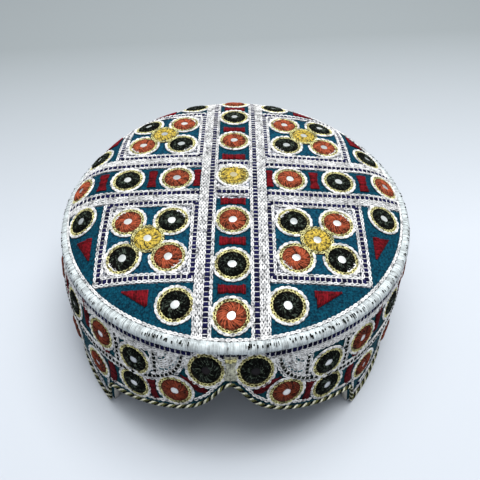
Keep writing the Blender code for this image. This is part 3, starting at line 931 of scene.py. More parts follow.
def route(points, closed=False):
    """A line's points in metres with its length up to each."""
    points = np.asarray(points, float)
    if closed:
        points = np.concatenate([points, points[:1]])
    far = np.concatenate([[0.0], np.cumsum(np.linalg.norm(np.diff(points, axis=0), axis=1))])
    return points, far


def on_route(line, stations, across=0.0, closed=False):
    """Places that far along a line and across it, to its left."""
    points, far = line
    total = far[-1]

    def at(s):
        """The line's point that far along it."""
        s = s % total if closed else s
        return np.stack([np.interp(s, far, points[:, 0]), np.interp(s, far, points[:, 1])], -1)

    ends = 0.00035
    ahead = at(stations + ends) if closed else at(np.minimum(stations + ends, total))
    behind = at(stations - ends) if closed else at(np.maximum(stations - ends, 0.0))
    tangent = unit(ahead - behind)
    place = at(stations)
    return place[..., 0] - tangent[..., 1] * across, place[..., 1] + tangent[..., 0] * across


def chain(face, points, closed=False, slot=0, lift=0.0002, width=None, pitch=None, thread=None, seed=1,
          keep=None):
    """A row of chain stitches: each link is two strands that leave one point, part and meet again.

    Across the line a strand follows half the width times the sine of a half turn of its share of the way
    to the power 0.75. It leaves the cloth low, rises and ends low under the next link's start.
    """
    size = sizes()
    width = width or size.chain_width
    pitch = pitch or size.chain_pitch
    thread = thread or size.chain_thread
    line = route(points, closed)
    count = max(2, round(line[1][-1] / pitch))
    pitch = line[1][-1] / count
    rng = np.random.default_rng(seed)
    share = np.linspace(0.0, 1.0, 5)
    start = np.arange(count) * pitch + rng.uniform(-0.05, 0.05, count) * pitch
    if keep is not None:
        middle = on_route(line, start + pitch / 2, 0.0, closed)
        start = start[keep(*middle)]
        count = len(start)
    if count == 0:
        return []
    stations = start[:, None, None] + share * pitch * LINK_OVERLAP
    if not closed:
        stations = np.minimum(stations, line[1][-1])
    sway = rng.uniform(0.85, 1.15, (count, 1, 1))
    across = np.array([1.0, -1.0])[:, None] * width / 2 * np.sin(np.pi * share ** 0.75) * sway
    stations = np.broadcast_to(stations, across.shape)
    x, y = on_route(line, stations, across, closed)
    heights = lift + thread * (0.3 + 0.9 * np.sin(np.pi * np.minimum(share * 1.1, 1.0)))
    centres, ups = lifted(face, x, y, heights)
    tint = np.repeat(rng.uniform(0.1, 1.0, count), 2)
    return [tubes(centres.reshape(-1, 5, 3), ups.reshape(-1, 5, 3), thread, thread * 0.85, slot, tint=tint)]


def satin(face, starts, stops, wide, high, slot, lift=0.00015, steps=4, seed=1, tint=None):
    """Satin threads laid from start to stop points: each rises from the cloth in a low arc and dips back."""
    starts = np.asarray(starts, float)
    stops = np.asarray(stops, float)
    share = np.linspace(0.0, 1.0, steps)[:, None]
    places = starts[:, None] * (1 - share) + stops[:, None] * share
    arc = lift + high * (0.2 + 0.8 * np.sin(np.pi * np.clip(share[:, 0], 0.04, 0.96)) ** 0.5)
    centres, ups = lifted(face, places[..., 0], places[..., 1], arc)
    rng = np.random.default_rng(seed)
    if tint is None:
        tint = rng.uniform(0.0, 1.0, len(starts))
    return tubes(centres, ups, wide, high, slot, tint=tint)


def dashes(face, points, closed=False, slots=(0, 1), seed=1, width=None, length=None, pitch=None, keep=None,
           lift=0.00015):
    """Running stitches of three side by side threads, with one white thread across each gap."""
    size = sizes()
    width = width or size.dash_width
    length = length or size.dash_length
    pitch = pitch or size.dash_pitch
    line = route(points, closed)
    count = max(1, round(line[1][-1] / pitch))
    step = line[1][-1] / count
    rng = np.random.default_rng(seed)
    start = (np.arange(count) + 0.5) * step - length / 2 + rng.uniform(-0.06, 0.06, count) * step
    if keep is not None:
        start = start[keep(*on_route(line, start + length / 2, 0.0, closed))]
        count = len(start)
    if count == 0:
        return []
    offsets = np.array([-1.0, 0.0, 1.0]) * width / 3
    begin = np.repeat(start[:, None], 3, 1) + rng.uniform(-0.1, 0.1, (count, 3)) * length
    end = begin + length * rng.uniform(0.9, 1.08, (count, 1))
    first = np.stack(on_route(line, begin, offsets, closed), -1).reshape(-1, 2)
    second = np.stack(on_route(line, end, offsets, closed), -1).reshape(-1, 2)
    shades = np.repeat(rng.uniform(0.0, 1.0, count), 3)
    navy = satin(face, first, second, width / 4.6, 0.00035, slots[0], lift, seed=seed, tint=shades)
    gap = start + length + (step - length) / 2
    left = np.stack(on_route(line, gap, np.full(count, width * 0.62), closed), -1)
    right = np.stack(on_route(line, gap, np.full(count, -width * 0.62), closed), -1)
    white = satin(face, left, right, 0.00024, 0.00034, slots[1], lift, seed=seed + 1)
    return [navy, white]


# Roundels


def roundel_parts(face, x, y, outline=True, seed=1, clear_of=None, tall=1.0):
    """One mirror roundel on a face, in polar coordinates round its centre.

    A mirror, a ring of thread, a chain of gilt thread and an outline of white chain stitches. Slots: colour
    thread, mirror with a painted reflection, cream thread, dark thread of brown and painted shade, white
    thread.
    """
    rng = np.random.default_rng(seed)
    local = local_frame(face, x, y, tall)
    parts = [mirror_part(local, rng), thread_ring(local, rng), *gilt_chain(local, seed + 3)]
    if outline:
        parts += outline_chain(local, seed + 7, clear_of)
    return parts


def thread_ring(local, rng):
    """The ring of thread: a rounded hump round the mirror, rippled by a cosine and swirled outwards, with
    painted light on the ripples' crests and the hump's top and painted shade in the valleys and at the foot.
    """
    radii, rise, depth, painted_light_share = np.array(RING_PROFILE).T[:, :, None]
    radii = radii * MM
    columns = 5 * RING_THREADS
    turn = 2 * np.pi * np.arange(columns) / columns
    swirl = turn + RING_SWIRL * (radii / radii[-1])
    flute = np.cos(RING_THREADS * turn + 1.2 * np.sin(3 * turn + rng.uniform(0, 6)))
    height = rise * MM + RING_RIPPLE * flute * depth
    edge = 1.0 + 0.05 * np.sin(2 * turn + rng.uniform(0, 6)) * (radii < 3 * MM)
    points = lifted(local, radii * edge * np.cos(swirl), radii * edge * np.sin(swirl), height)[0]
    coordinates = np.stack([radii / MM + 0.0 * swirl, np.broadcast_to(turn / FULL_TURN, swirl.shape)], -1)
    strand = np.repeat(rng.normal(0.0, 0.34, columns // 3), 3)
    # The tint is lighter on the ripple's crests and the hump's top and darker in the valleys and at the foot:
    # painted light and shade. The strand term is random tone.
    tint = np.clip((0.52 + 0.42 * flute + strand) * painted_light_share, 0.0, 1.0)
    return sheet_part(points[::-1], coordinates[::-1], 0, (False, True), tint[::-1].ravel())


def gilt_chain(local, seed):
    """A chain of gilt thread round the ring's foot, on a dark flat strip of brown thread and painted shade.
    """
    turn = 2 * np.pi * np.arange(36) / 36
    strip = np.array(GILT_STRIP)[:, None] * MM
    points = lifted(local, strip * np.cos(turn), strip * np.sin(turn), 0.00012)[0]
    coordinates = np.stack([strip / MM + 0.0 * turn, turn + 0.0 * strip], -1)
    # This dark brown strip is painted shade at the ring's foot and between the links.
    dark = sheet_part(points[::-1], coordinates[::-1], 3, (False, True), 0.2)
    links = chain(local, circle(GILT_CHAIN_RADIUS), True, 2, lift=0.00022, width=0.00110, pitch=0.0017,
                  thread=0.00027, seed=seed)
    return [dark, *links]


def outline_chain(local, seed, clear_of):
    """The white outline, left out where it would cross the neighbour whose middle is clear_of."""
    def keep(a, b):
        """Which places are clear of the neighbour."""
        return np.hypot(a - clear_of[0], b - clear_of[1]) > NEIGHBOUR_REACH

    return chain(local, circle(OUTLINE_RADIUS), True, 4, lift=0.00012, width=0.0008, pitch=0.0027,
                 thread=0.00040, seed=seed, keep=keep if clear_of is not None else None)


def circle(radius):
    """Points of a circle."""
    turn = 2 * np.pi * np.arange(40) / 40
    return np.stack([radius * np.cos(turn), radius * np.sin(turn)], -1)


def mirror_part(local, rng):
    """The mirror: a square grid rounded to a disc, with an uneven edge and a slightly domed face."""
    line = np.linspace(-1.0, 1.0, 9)
    s, t = np.meshgrid(line, line, indexing="ij")
    a, b = s * np.sqrt(1 - t ** 2 / 2), t * np.sqrt(1 - s ** 2 / 2)
    turn = np.arctan2(b, a)
    far = np.hypot(a, b)
    wave = 1.0 + 0.09 * np.sin(2 * turn + rng.uniform(0, 6)) + 0.06 * np.sin(3 * turn + rng.uniform(0, 6))
    a, b = a * wave * MIRROR_RADIUS, b * wave * MIRROR_RADIUS
    points = lifted(local, a, b, MIRROR_HEIGHT - MIRROR_DOME * far ** 2)[0]
    return sheet_part(points, np.stack([a, b], -1) / MM, 1, tint=rng.uniform(0.0, 1.0))


def roundel_materials(colour, glass):
    """A roundel's slots in order."""
    threads = {"orange": orange_thread, "rust": shaded_orange_thread, "black": black_thread, "gold": gold_thread}
    return [threads[colour](), glass, cream_thread(), brown_gap_shade_thread(), white_thread()]


def add_roundel(name, face, x, y, colour, seed, glass, tall=1.0):
    """A roundel's object in place of its node."""
    parts = roundel_parts(face, x, y, seed=seed, tall=tall)
    add_piece("stitched_" + name, parts, roundel_materials(colour, glass), (name,))


def crown_roundels():
    """Each roundel of the crown: name, place along the cloth and colour."""
    rows = [("centre_roundel", 0.0, CENTRE_ROUNDEL_BACK, "gold")]
    for direction, angle, stations in ARMS:
        turn = np.radians(angle)
        for i, station in enumerate(stations):
            name = f"arm_roundel_{direction}_{i + 1}"
            rows.append((name, station * np.sin(turn), -station * np.cos(turn), ARM_COLOURS[i]))
    for quarter, right, back in QUARTERS:
        near, far = EDGE_ROUNDEL_NEAR, EDGE_ROUNDEL_FAR
        rows.append((f"edge_roundel_{quarter}_1", right * near, back * far, "black"))
        rows.append((f"edge_roundel_{quarter}_2", right * far, back * near, "black"))
    return rows


def add_flower(quarter, right, back, seed):
    """A square's flower: a gold roundel and the four round it."""
    x, y = right * SQUARE_CENTRE, back * SQUARE_CENTRE
    parts = roundel_parts(crown_face, x, y, outline=False, seed=seed)
    materials = [gold_thread(), painted_reflection_glass(), cream_thread(), brown_gap_shade_thread(), white_thread(),
                 orange_thread(), black_thread()]
    for i, (across, deep) in enumerate(PETALS):
        colour = PETAL_COLOURS[quarter][i]
        clear_of = (-across * FLOWER_PETAL, -deep * FLOWER_PETAL)
        petal = roundel_parts(crown_face, x + across * FLOWER_PETAL, y + deep * FLOWER_PETAL,
                              seed=seed + i + 1, clear_of=clear_of)
        slot = 5 if colour == "orange" else 6
        parts += [(*piece[:4], np.where(piece[4] == 0, slot, piece[4])) for piece in petal]
    add_piece(f"stitched_flower_{quarter}", parts, materials, (f"flower_{quarter}",))


def back_row_places(front_angle, back_height, follow):
    """Angles and heights of a rear row's discs."""
    step = (180.0 - front_angle) / BACK_ROW_STEPS
    angles = front_angle + step * np.arange(1, 2 * BACK_ROW_STEPS)
    turn = np.radians(angles)
    heights = back_height + follow * (band_top(turn) - band_top(np.array([np.pi]))[0])
    return turn, heights


# Operators


class CrownCloth(bpy.types.Operator):
    """Quilted crown: two shallow domes a cloth apart, closed round their edge"""

    bl_idname = "sindhi_cap.crown_cloth"
    bl_label = "Crown cloth"

    def execute(self, context):
        """A square grid is rounded to a disc: each coordinate times the root of one less half the other's
        square. The disc's points are the crown's distances along the cloth."""
        count = 101
        line = np.linspace(-1.0, 1.0, count)
        s, t = np.meshgrid(line, line, indexing="ij")
        x = s * np.sqrt(1 - t ** 2 / 2) * CROWN_EDGE_ARC
        y = t * np.sqrt(1 - s ** 2 / 2) * CROWN_EDGE_ARC
        pattern = x
        for _ in range(4):
            pattern = x - pattern_shift(pattern)[0]
        flat = np.stack([pattern, y - pattern_shift(pattern)[1]], -1) / MM
        top, out = lifted(crown_cloth, x, y, -0.00002)
        under = top - out * CLOTH
        upper = sheet_part(top, flat, 0)
        lower = sheet_part(under[::-1], flat[::-1], 1)
        edge_index = np.concatenate([
            np.arange(count - 1), np.arange(count - 1) * count + count - 1,
            count * count - 1 - np.arange(count - 1), (count - 1 - np.arange(count - 1)) * count])
        ring = np.stack([top.reshape(-1, 3)[edge_index], under.reshape(-1, 3)[edge_index]])
        edge = sheet_part(ring, np.stack([flat.reshape(-1, 2)[edge_index]] * 2), 0, (False, True))
        shell = turned_out(joined([upper, lower, edge]))
        add_piece("quilted_crown", [shell], [crown_ground(), plain_cotton()], ("crown",))
        return {"FINISHED"}


class BandCloth(bpy.types.Operator):
    """Side band with its arch, a closed wall of cloth"""

    bl_idname = "sindhi_cap.band_cloth"
    bl_label = "Band cloth"

    def execute(self, context):
        """Columns round the cap, each a loop down the outer face and up the inner one."""
        turn = np.radians(angles_round(105, 7, 221))[:, None]
        rows = 13
        share = np.linspace(0.0, 1.0, rows)
        top = band_top(turn)
        height = top + (rim_height(turn) - top) * share
        outer = band_wall(turn + 0.0 * height, height)
        inner = band_wall(turn + 0.0 * height, height, -CLOTH)
        loop = np.concatenate([outer, inner[:, ::-1]], 1)
        flat = np.stack([turn * BAND_SCALE + 0.0 * height, height], -1) / MM
        flat = np.concatenate([flat, flat[:, ::-1]], 1)
        piece = turned_out(sheet_part(loop, flat, 0, (True, True)))
        inside = np.zeros((len(turn), 2 * rows), dtype=int)
        inside[:, rows - 1:] = 1
        piece = (*piece[:4], inside.ravel())
        add_piece("stitched_band", [piece], [band_ground(), plain_cotton()], ("side_band",))
        return {"FINISHED"}


def piping_corners(turn):
    """The nine corners of the piping's section at each angle, as radius and height.

    Towards the back, where the crown rolls over, the upper corners are lower by a smooth step.
    """
    radius, height, slope = seam(turn)
    drop = height - band_top(turn)
    reach = PIPING_FLATTER_TO - PIPING_FLATTER_FROM
    share = np.clip((angle_from_front(turn) - PIPING_FLATTER_FROM) / reach, 0.0, 1.0)
    flat = 1.0 - PIPING_FLATTER_BY * share * share * (3.0 - 2.0 * share)
    corners = []
    for out, up, lean in PIPING_ON_CROWN:
        tilt = lean * slope
        up = up * flat
        corners.append((radius + out * np.cos(tilt) + up * np.sin(tilt),
                        height + up * np.cos(tilt) - out * np.sin(tilt)))
    for out, down in PIPING_ON_BAND:
        corners.append((radius + out, height - down * drop))
    return np.moveaxis(np.array(corners), 2, 0)


def rounded(corners, places):
    """Points at places on a closed Catmull-Rom curve through each row's corners, which the places count."""
    places = np.atleast_2d(places)
    whole = np.floor(places).astype(int)
    t = places - whole
    weights = (-t / 2 + t ** 2 - t ** 3 / 2, 1 - 2.5 * t ** 2 + 1.5 * t ** 3,
               t / 2 + 2 * t ** 2 - 1.5 * t ** 3, -t ** 2 / 2 + t ** 3 / 2)
    points = 0.0
    for shift, weight in zip((-1, 0, 1, 2), weights):
        index = (whole + shift) % corners.shape[1]
        points = points + weight[..., None] * np.take_along_axis(corners, index[..., None], 1)
    return points


def turned_about_axis(section, turn):
    """Points of the sections, each turned to its angle round the crown's axis."""
    x = section[..., 0] * np.sin(turn)[:, None]
    y = AXIS_Y - section[..., 0] * np.cos(turn)[:, None]
    return np.stack([x, y, section[..., 1]], -1)


class CrownPiping(bpy.types.Operator):
    """Satin piping over the seam"""

    bl_idname = "sindhi_cap.crown_piping"
    bl_label = "Crown piping"

    def execute(self, context):
        """The piping's section carried round the seam, with every third column a proud ridge of thread."""
        thread = sizes().piping_thread
        ridges = round(2 * np.pi * PIPING_RADIUS / thread)
        turn = 2 * np.pi * np.arange(ridges * 3) / (ridges * 3)
        samples = 12
        section = rounded(piping_corners(turn), np.arange(samples) * 9 / samples)
        away = unit(section - section.mean(1, keepdims=True))
        rng = np.random.default_rng(31)
        proud = np.where(np.arange(len(turn)) % 3 == 0, PIPING_RIDGE, PIPING_GROOVE)
        proud = proud + np.repeat(rng.normal(0.0, 0.00006, ridges), 3)
        points = turned_about_axis(section + away * proud[:, None, None], turn)
        far = np.arange(len(turn)) * thread / 3 / MM
        flat = np.stack(np.broadcast_arrays(far[:, None], np.arange(samples) / samples), -1)
        tint = np.repeat(np.repeat(rng.uniform(0, 1, ridges), 3), samples)
        piece = turned_out(sheet_part(points, flat, 0, (True, True), tint))
        add_piece("satin_piping", [piece], [piping_satin()], ("crown_piping",))
        # The strokes, and a dark thread of painted shade along the crown's edge.
        add_piece("piping_strokes_and_edge_shadow", [self.strokes(), self.edge_shadow_thread()], [black_thread()])
        return {"FINISHED"}

    def strokes(self):
        """Short black stitches across the piping's upper side, with fine ones all the way round.

        Each follows the piping's section from one place to another, a little proud of it. Their angles are
        close rows at the left and right of the front, loose ones beside them and scattered ones round the
        cap, of which the last are fine.
        """
        fine = 150
        rng = np.random.default_rng(37)
        angles = np.concatenate([
            np.linspace(-22.5, -17.0, 6), rng.uniform(-17.0, -11.0, 5), rng.uniform(4.0, 10.0, 6),
            np.linspace(15.0, 36.0, 24) + rng.uniform(-0.4, 0.4, 24), rng.uniform(-60.0, 60.0, 12),
            rng.uniform(60.0, 300.0, 40), rng.uniform(-180.0, 180.0, fine)])
        turn = np.radians(angles)
        low = rng.uniform(1.8, 2.6, len(turn))
        reach = rng.uniform(0.4, 1.1, len(turn))
        corners = piping_corners(turn)
        section = rounded(corners, low[:, None] + reach[:, None] * np.linspace(0.0, 1.0, 4))
        away = unit(section - corners.mean(1, keepdims=True))
        centres = turned_about_axis(section + away * STROKE_RISE, turn)
        ups = unit(centres - turned_about_axis(section, turn))
        wide = np.full((len(turn), 4), STROKE_WIDE)
        wide[-fine:] = FINE_STROKE_WIDE
        return tubes(centres, ups, wide, STROKE_HIGH, tint=rng.uniform(0, 0.5, len(turn)))

    def edge_shadow_thread(self):
        """A dark thread here and there between the crown and the piping: painted shade in the gap between
        them.
        """
        rng = np.random.default_rng(41)
        begin = np.radians(np.concatenate([rng.uniform(-80.0, 110.0, 60), rng.uniform(110.0, 280.0, 16)]))
        length = np.radians(rng.uniform(1.0, 3.4, len(begin)))
        turn = begin[:, None] + length[:, None] * np.linspace(0.0, 1.0, 5)
        arc = EDGE_SHADOW_ARC + rng.uniform(-0.0002, 0.0003, len(begin))[:, None]
        centres, ups = lifted(crown_cloth, arc * np.sin(turn), -arc * np.cos(turn), 0.0006)
        return tubes(centres, ups, 0.00016, 0.00016, tint=rng.uniform(0, 0.4, len(begin)))


def rim_line():
    """The rim cord's centre line: the band's lower edge, moved into the cloth and out of its face."""
    turn = np.radians(angles_round(120, 12, 300))
    low = rim_height(turn)
    edge = band_wall(turn, low)
    out = normals(band_face, turn * BAND_SCALE, low + RIM_CORD_INSET)
    along = unit(np.roll(edge, -1, 0) - np.roll(edge, 1, 0))
    into_cloth = unit(np.cross(out, along))
    centre = edge + into_cloth * RIM_CORD_INSET + out * (RIM_CORD_RADIUS + SEAM_GAP)
    centre[:, 2] = np.maximum(centre[:, 2], RIM_CORD_RADIUS)
    return centre, out


class RimCord(bpy.types.Operator):
    """Twisted cord round the lower edge"""

    bl_idname = "sindhi_cap.rim_cord"
    bl_label = "Rim cord"

    def execute(self, context):
        """Three strands, each a helix round the cord's centre line."""
        strands = 3
        steps_a_turn = 8
        centre, out = rim_line()
        for _ in range(3):
            centre = (np.roll(centre, 1, 0) + centre * 2 + np.roll(centre, -1, 0)) / 4
        closed = np.concatenate([centre, centre[:1]])
        far = np.concatenate([[0.0], np.cumsum(np.linalg.norm(np.diff(closed, axis=0), axis=1))])
        turns = round(far[-1] / sizes().cord_pitch)
        steps = turns * steps_a_turn
        stations = far[-1] * np.arange(steps) / steps
        line = np.stack([np.interp(stations, far, closed[:, i]) for i in range(3)], -1)
        outward = np.concatenate([out, out[:1]])
        up = unit(np.stack([np.interp(stations, far, outward[:, i]) for i in range(3)], -1))
        tangent = unit(np.roll(line, -1, 0) - np.roll(line, 1, 0))
        side = unit(np.cross(tangent, up))
        up = np.cross(side, tangent)
        parts = []
        for strand in range(strands):
            phase = 2 * np.pi * (np.arange(steps) / steps_a_turn + strand / strands)
            ring = side * np.cos(phase)[:, None] + up * np.sin(phase)[:, None]
            centres = line + ring * STRAND_TURN_RADIUS
            parts.append(tubes(centres[None], ring[None], STRAND_WIDE, STRAND_HIGH, strand, 5, True,
                               tint=0.3 + 0.25 * strand))
        add_piece("twisted_rim_cord", parts, [black_thread(), cord_gold_thread(), cream_white_thread()],
                  ("rim_cord",))
        return {"FINISHED"}


class FrontTie(bpy.types.Operator):
    """Bundle of cream thread over the arch's peak"""

    bl_idname = "sindhi_cap.front_tie"
    bl_label = "Front tie"

    def execute(self, context):
        """Threads side by side down the band, with three wrapped round the top.

        The bundle's width follows a bell curve that is lowest at its waist, and its depth a half circle
        across times a sine along.
        """
        count = 15
        rng = np.random.default_rng(5)
        spread = np.linspace(-1.0, 1.0, count)[:, None]
        share = np.linspace(0.0, 1.0, 12)
        narrower, place, reach = TIE_WAIST
        waist = 1.0 - narrower * np.exp(-((share - place) / reach) ** 2)
        across = spread * TIE_HALF_WIDTH * waist + rng.uniform(-0.0001, 0.0001, (count, len(share)))
        height = TIE_TOP - share * TIE_LENGTH + 0.0 * across
        bulge = np.sqrt(np.maximum(1 - spread ** 2, 0.0)) * np.sin(np.pi * (0.1 + 0.8 * share))
        centres, ups = lifted(band_face, across, height, TIE_RISE + TIE_DEPTH * bulge)
        parts = [tubes(centres, ups, 0.00026, 0.0003, 0, 6, tint=rng.uniform(0, 1, count))]
        wrap = np.linspace(-1.0, 1.0, 9)
        rows = np.arange(3)[:, None]
        x = wrap * TIE_WRAP_HALF_WIDTH + 0.0 * rows
        y = TIE_WRAP_HEIGHT + rows * TIE_WRAP_SPACING + 0.0003 * wrap
        level = 0.0009 + 0.0010 * np.sqrt(1 - wrap ** 2 * 0.9) + 0.0 * rows
        centres, ups = lifted(band_face, x, y, level)
        parts.append(tubes(centres, ups, 0.0003, 0.0003, 1, 6, tint=rng.uniform(0, 1, len(rows))))
        add_piece("thread_tie", parts, [cream_white_thread(), cream_thread()], ("front_tie",))
        return {"FINISHED"}


def cream_white_thread():
    """Cream-white thread of the tie and of one strand of the cord."""
    return thread_material("cream_white_embroidery", linear(200, 200, 180), dark=0.3, light=1.35, speckle=0.5)


class CrownRoundels(bpy.types.Operator):
    """Mirror roundels and flowers of the crown"""

    bl_idname = "sindhi_cap.crown_roundels"
    bl_label = "Crown roundels"

    def execute(self, context):
        """Each roundel in order, then the four flowers."""
        for i, (name, x, y, colour) in enumerate(crown_roundels()):
            glass = gold_reflection_glass() if colour == "gold" else painted_reflection_glass()
            add_roundel(name, crown_face, x, y, colour, 10 + i, glass)
        for i, (quarter, right, back) in enumerate(QUARTERS):
            add_flower(quarter, right, back, seed=60 + 10 * i)
        return {"FINISHED"}


class BandRoundels(bpy.types.Operator):
    """Mirror roundels of the band, with the rows round the back"""

    bl_idname = "sindhi_cap.band_roundels"
    bl_label = "Band roundels"

    def execute(self, context):
        """The pairs in front, then the two rows round the back, orange and black by turns."""
        seed = 200
        for name, angle, height, colour in BAND_PAIRS:
            for side, sign in (("right", 1), ("left", -1)):
                x = sign * np.radians(angle) * BAND_SCALE
                front = name == "front_roundel"
                # The band's orange discs take the darker orange of painted shade.
                add_roundel(f"{name}_{side}", band_face, x, height, colour.replace("orange", "rust"), seed,
                            dark_reflection_glass() if front else bright_reflection_glass(), FRONT_ROUNDEL_TALL if front else 1.0)
                seed += 1
        for name, front_angle, back_height, follow in BACK_ROWS:
            starts_black = name == "upper_row_back"
            turn, heights = back_row_places(front_angle, back_height, follow)
            parts = []
            for i, (angle, height) in enumerate(zip(turn, heights)):
                black = (i % 2 == 0) == starts_black
                pieces = roundel_parts(band_face, angle * BAND_SCALE, height, seed=seed)
                slot = 5 if black else 0
                parts += [(*piece[:4], np.where(piece[4] == 0, slot, piece[4])) for piece in pieces]
                seed += 1
            parts += red_bars_between(turn, heights)
            # The rear rows' orange and red are the darker copies: painted shade.
            materials = [shaded_orange_thread(), bright_reflection_glass(), cream_thread(), brown_gap_shade_thread(), white_thread(),
                         black_thread(), shaded_red_thread()]
            add_piece(f"stitched_{name}", parts, materials, (name,))
        return {"FINISHED"}


def red_bars_between(turn, heights):
    """Upright red satin bars half way between the discs of a rear row."""
    x = (turn[1:] + turn[:-1]) / 2 * BAND_SCALE
    y = (heights[1:] + heights[:-1]) / 2
    parts = []
    for i, (place, level) in enumerate(zip(x, y)):
        parts.append(bar(band_face, place, level, 90.0, *BACK_BAR, 6, seed=300 + i))
    return parts


def bar(face, x, y, angle, length, thick, waist, slot, seed=1):
    """A satin bar: threads side by side along its length, each as long as the bar is thick there."""
    count = max(4, round(length / sizes().satin_thread))
    share = (np.arange(count) + 0.5) / count * 2 - 1
    rng = np.random.default_rng(seed)
    half = (waist + (thick - waist) * share ** 2) / 2 + rng.uniform(-0.00018, 0.00018, count)
    turn = np.radians(angle)
    along = np.array([np.cos(turn), np.sin(turn)])
    across = np.array([-np.sin(turn), np.cos(turn)])
    middle = np.array([x, y]) + share[:, None] * length / 2 * along
    middle = middle + rng.uniform(-0.00015, 0.00015, count)[:, None] * across
    starts = middle - across * half[:, None]
    stops = middle + across * half[:, None]
    wide = sizes().satin_thread * PATCH_THREAD_SHARE
    return satin(face, starts, stops, wide, PATCH_THREAD_HIGH, slot, seed=seed)


def filled(face, corners, angle, slot, seed=1, spacing=None):
    """A polygon filled with satin threads that run at an angle, each cut to the polygon's two sides."""
    spacing = spacing or sizes().satin_thread
    corners = np.asarray(corners, float)
    turn = np.radians(angle)
    along = np.array([np.cos(turn), np.sin(turn)])
    across = np.array([-np.sin(turn), np.cos(turn)])
    u, v = corners @ along, corners @ across
    levels = np.arange(v.min() + spacing / 2, v.max(), spacing)
    u2, v2 = np.roll(u, -1), np.roll(v, -1)
    share = (levels[:, None] - v) / np.where(np.abs(v2 - v) < 1e-9, 1e-9, v2 - v)
    hit = (share >= 0) & (share < 1)
    cross = u + share * (u2 - u)
    low = np.where(hit, cross, np.inf).min(1)
    high = np.where(hit, cross, -np.inf).max(1)
    keep = high - low > 0.0003
    low, high, levels = low[keep], high[keep], levels[keep]
    starts = low[:, None] * along + levels[:, None] * across
    stops = high[:, None] * along + levels[:, None] * across
    return satin(face, starts, stops, spacing * PATCH_THREAD_SHARE, PATCH_THREAD_HIGH, slot, seed=seed)


def rotated(points, quarter_turns):
    """Points turned by quarter turns round the crown's middle."""
    turn = np.pi / 2 * quarter_turns
    c, s = np.round(np.cos(turn)), np.round(np.sin(turn))
    points = np.asarray(points, float)
    return np.stack([c * points[..., 0] - s * points[..., 1], s * points[..., 0] + c * points[..., 1]], -1)


def straight(x0, y0, x1, y1):
    """A straight line's points every two millimetres."""
    count = max(2, int(np.hypot(x1 - x0, y1 - y0) / 0.002))
    share = np.linspace(0, 1, count)[:, None]
    return np.array([x0, y0]) * (1 - share) + np.array([x1, y1]) * share


def reach_of(offset):
    """How far a line at that offset from the middle runs before it meets the piping."""
    return float(np.sqrt(CROWN_LINE_END ** 2 - offset ** 2))


def crossing_lines(offset, inner):
    """Three lines at an offset from the cross's axes: one from front to back, and one out to each side."""
    end = reach_of(offset)
    return [straight(offset, -end, offset, end), straight(inner, offset, end, offset),
            straight(-inner, offset, -end, offset)]


def square_sides(inner, outer, right, back):
    """The four sides of a square in one quarter of the crown."""
    corners = np.array([[inner, inner], [outer, inner], [outer, outer], [inner, outer], [inner, inner]])
    corners = corners * (right, back)
    return [straight(*first, *second) for first, second in zip(corners, corners[1:])]


def petal_corners(right, back):
    """Two short slanted lines across each corner of a square, outside its flower."""
    lines = []
    for across, deep in PETALS:
        x = right * SQUARE_CENTRE + across * PETAL_CORNER
        y = back * SQUARE_CENTRE + deep * PETAL_CORNER
        for shift in PETAL_CORNER_SHIFTS:
            near = PETAL_CORNER_REACH - shift
            lines.append(straight(x - across * near + across * shift, y + deep * shift,
                                  x + across * shift, y - deep * near + deep * shift))
    return lines


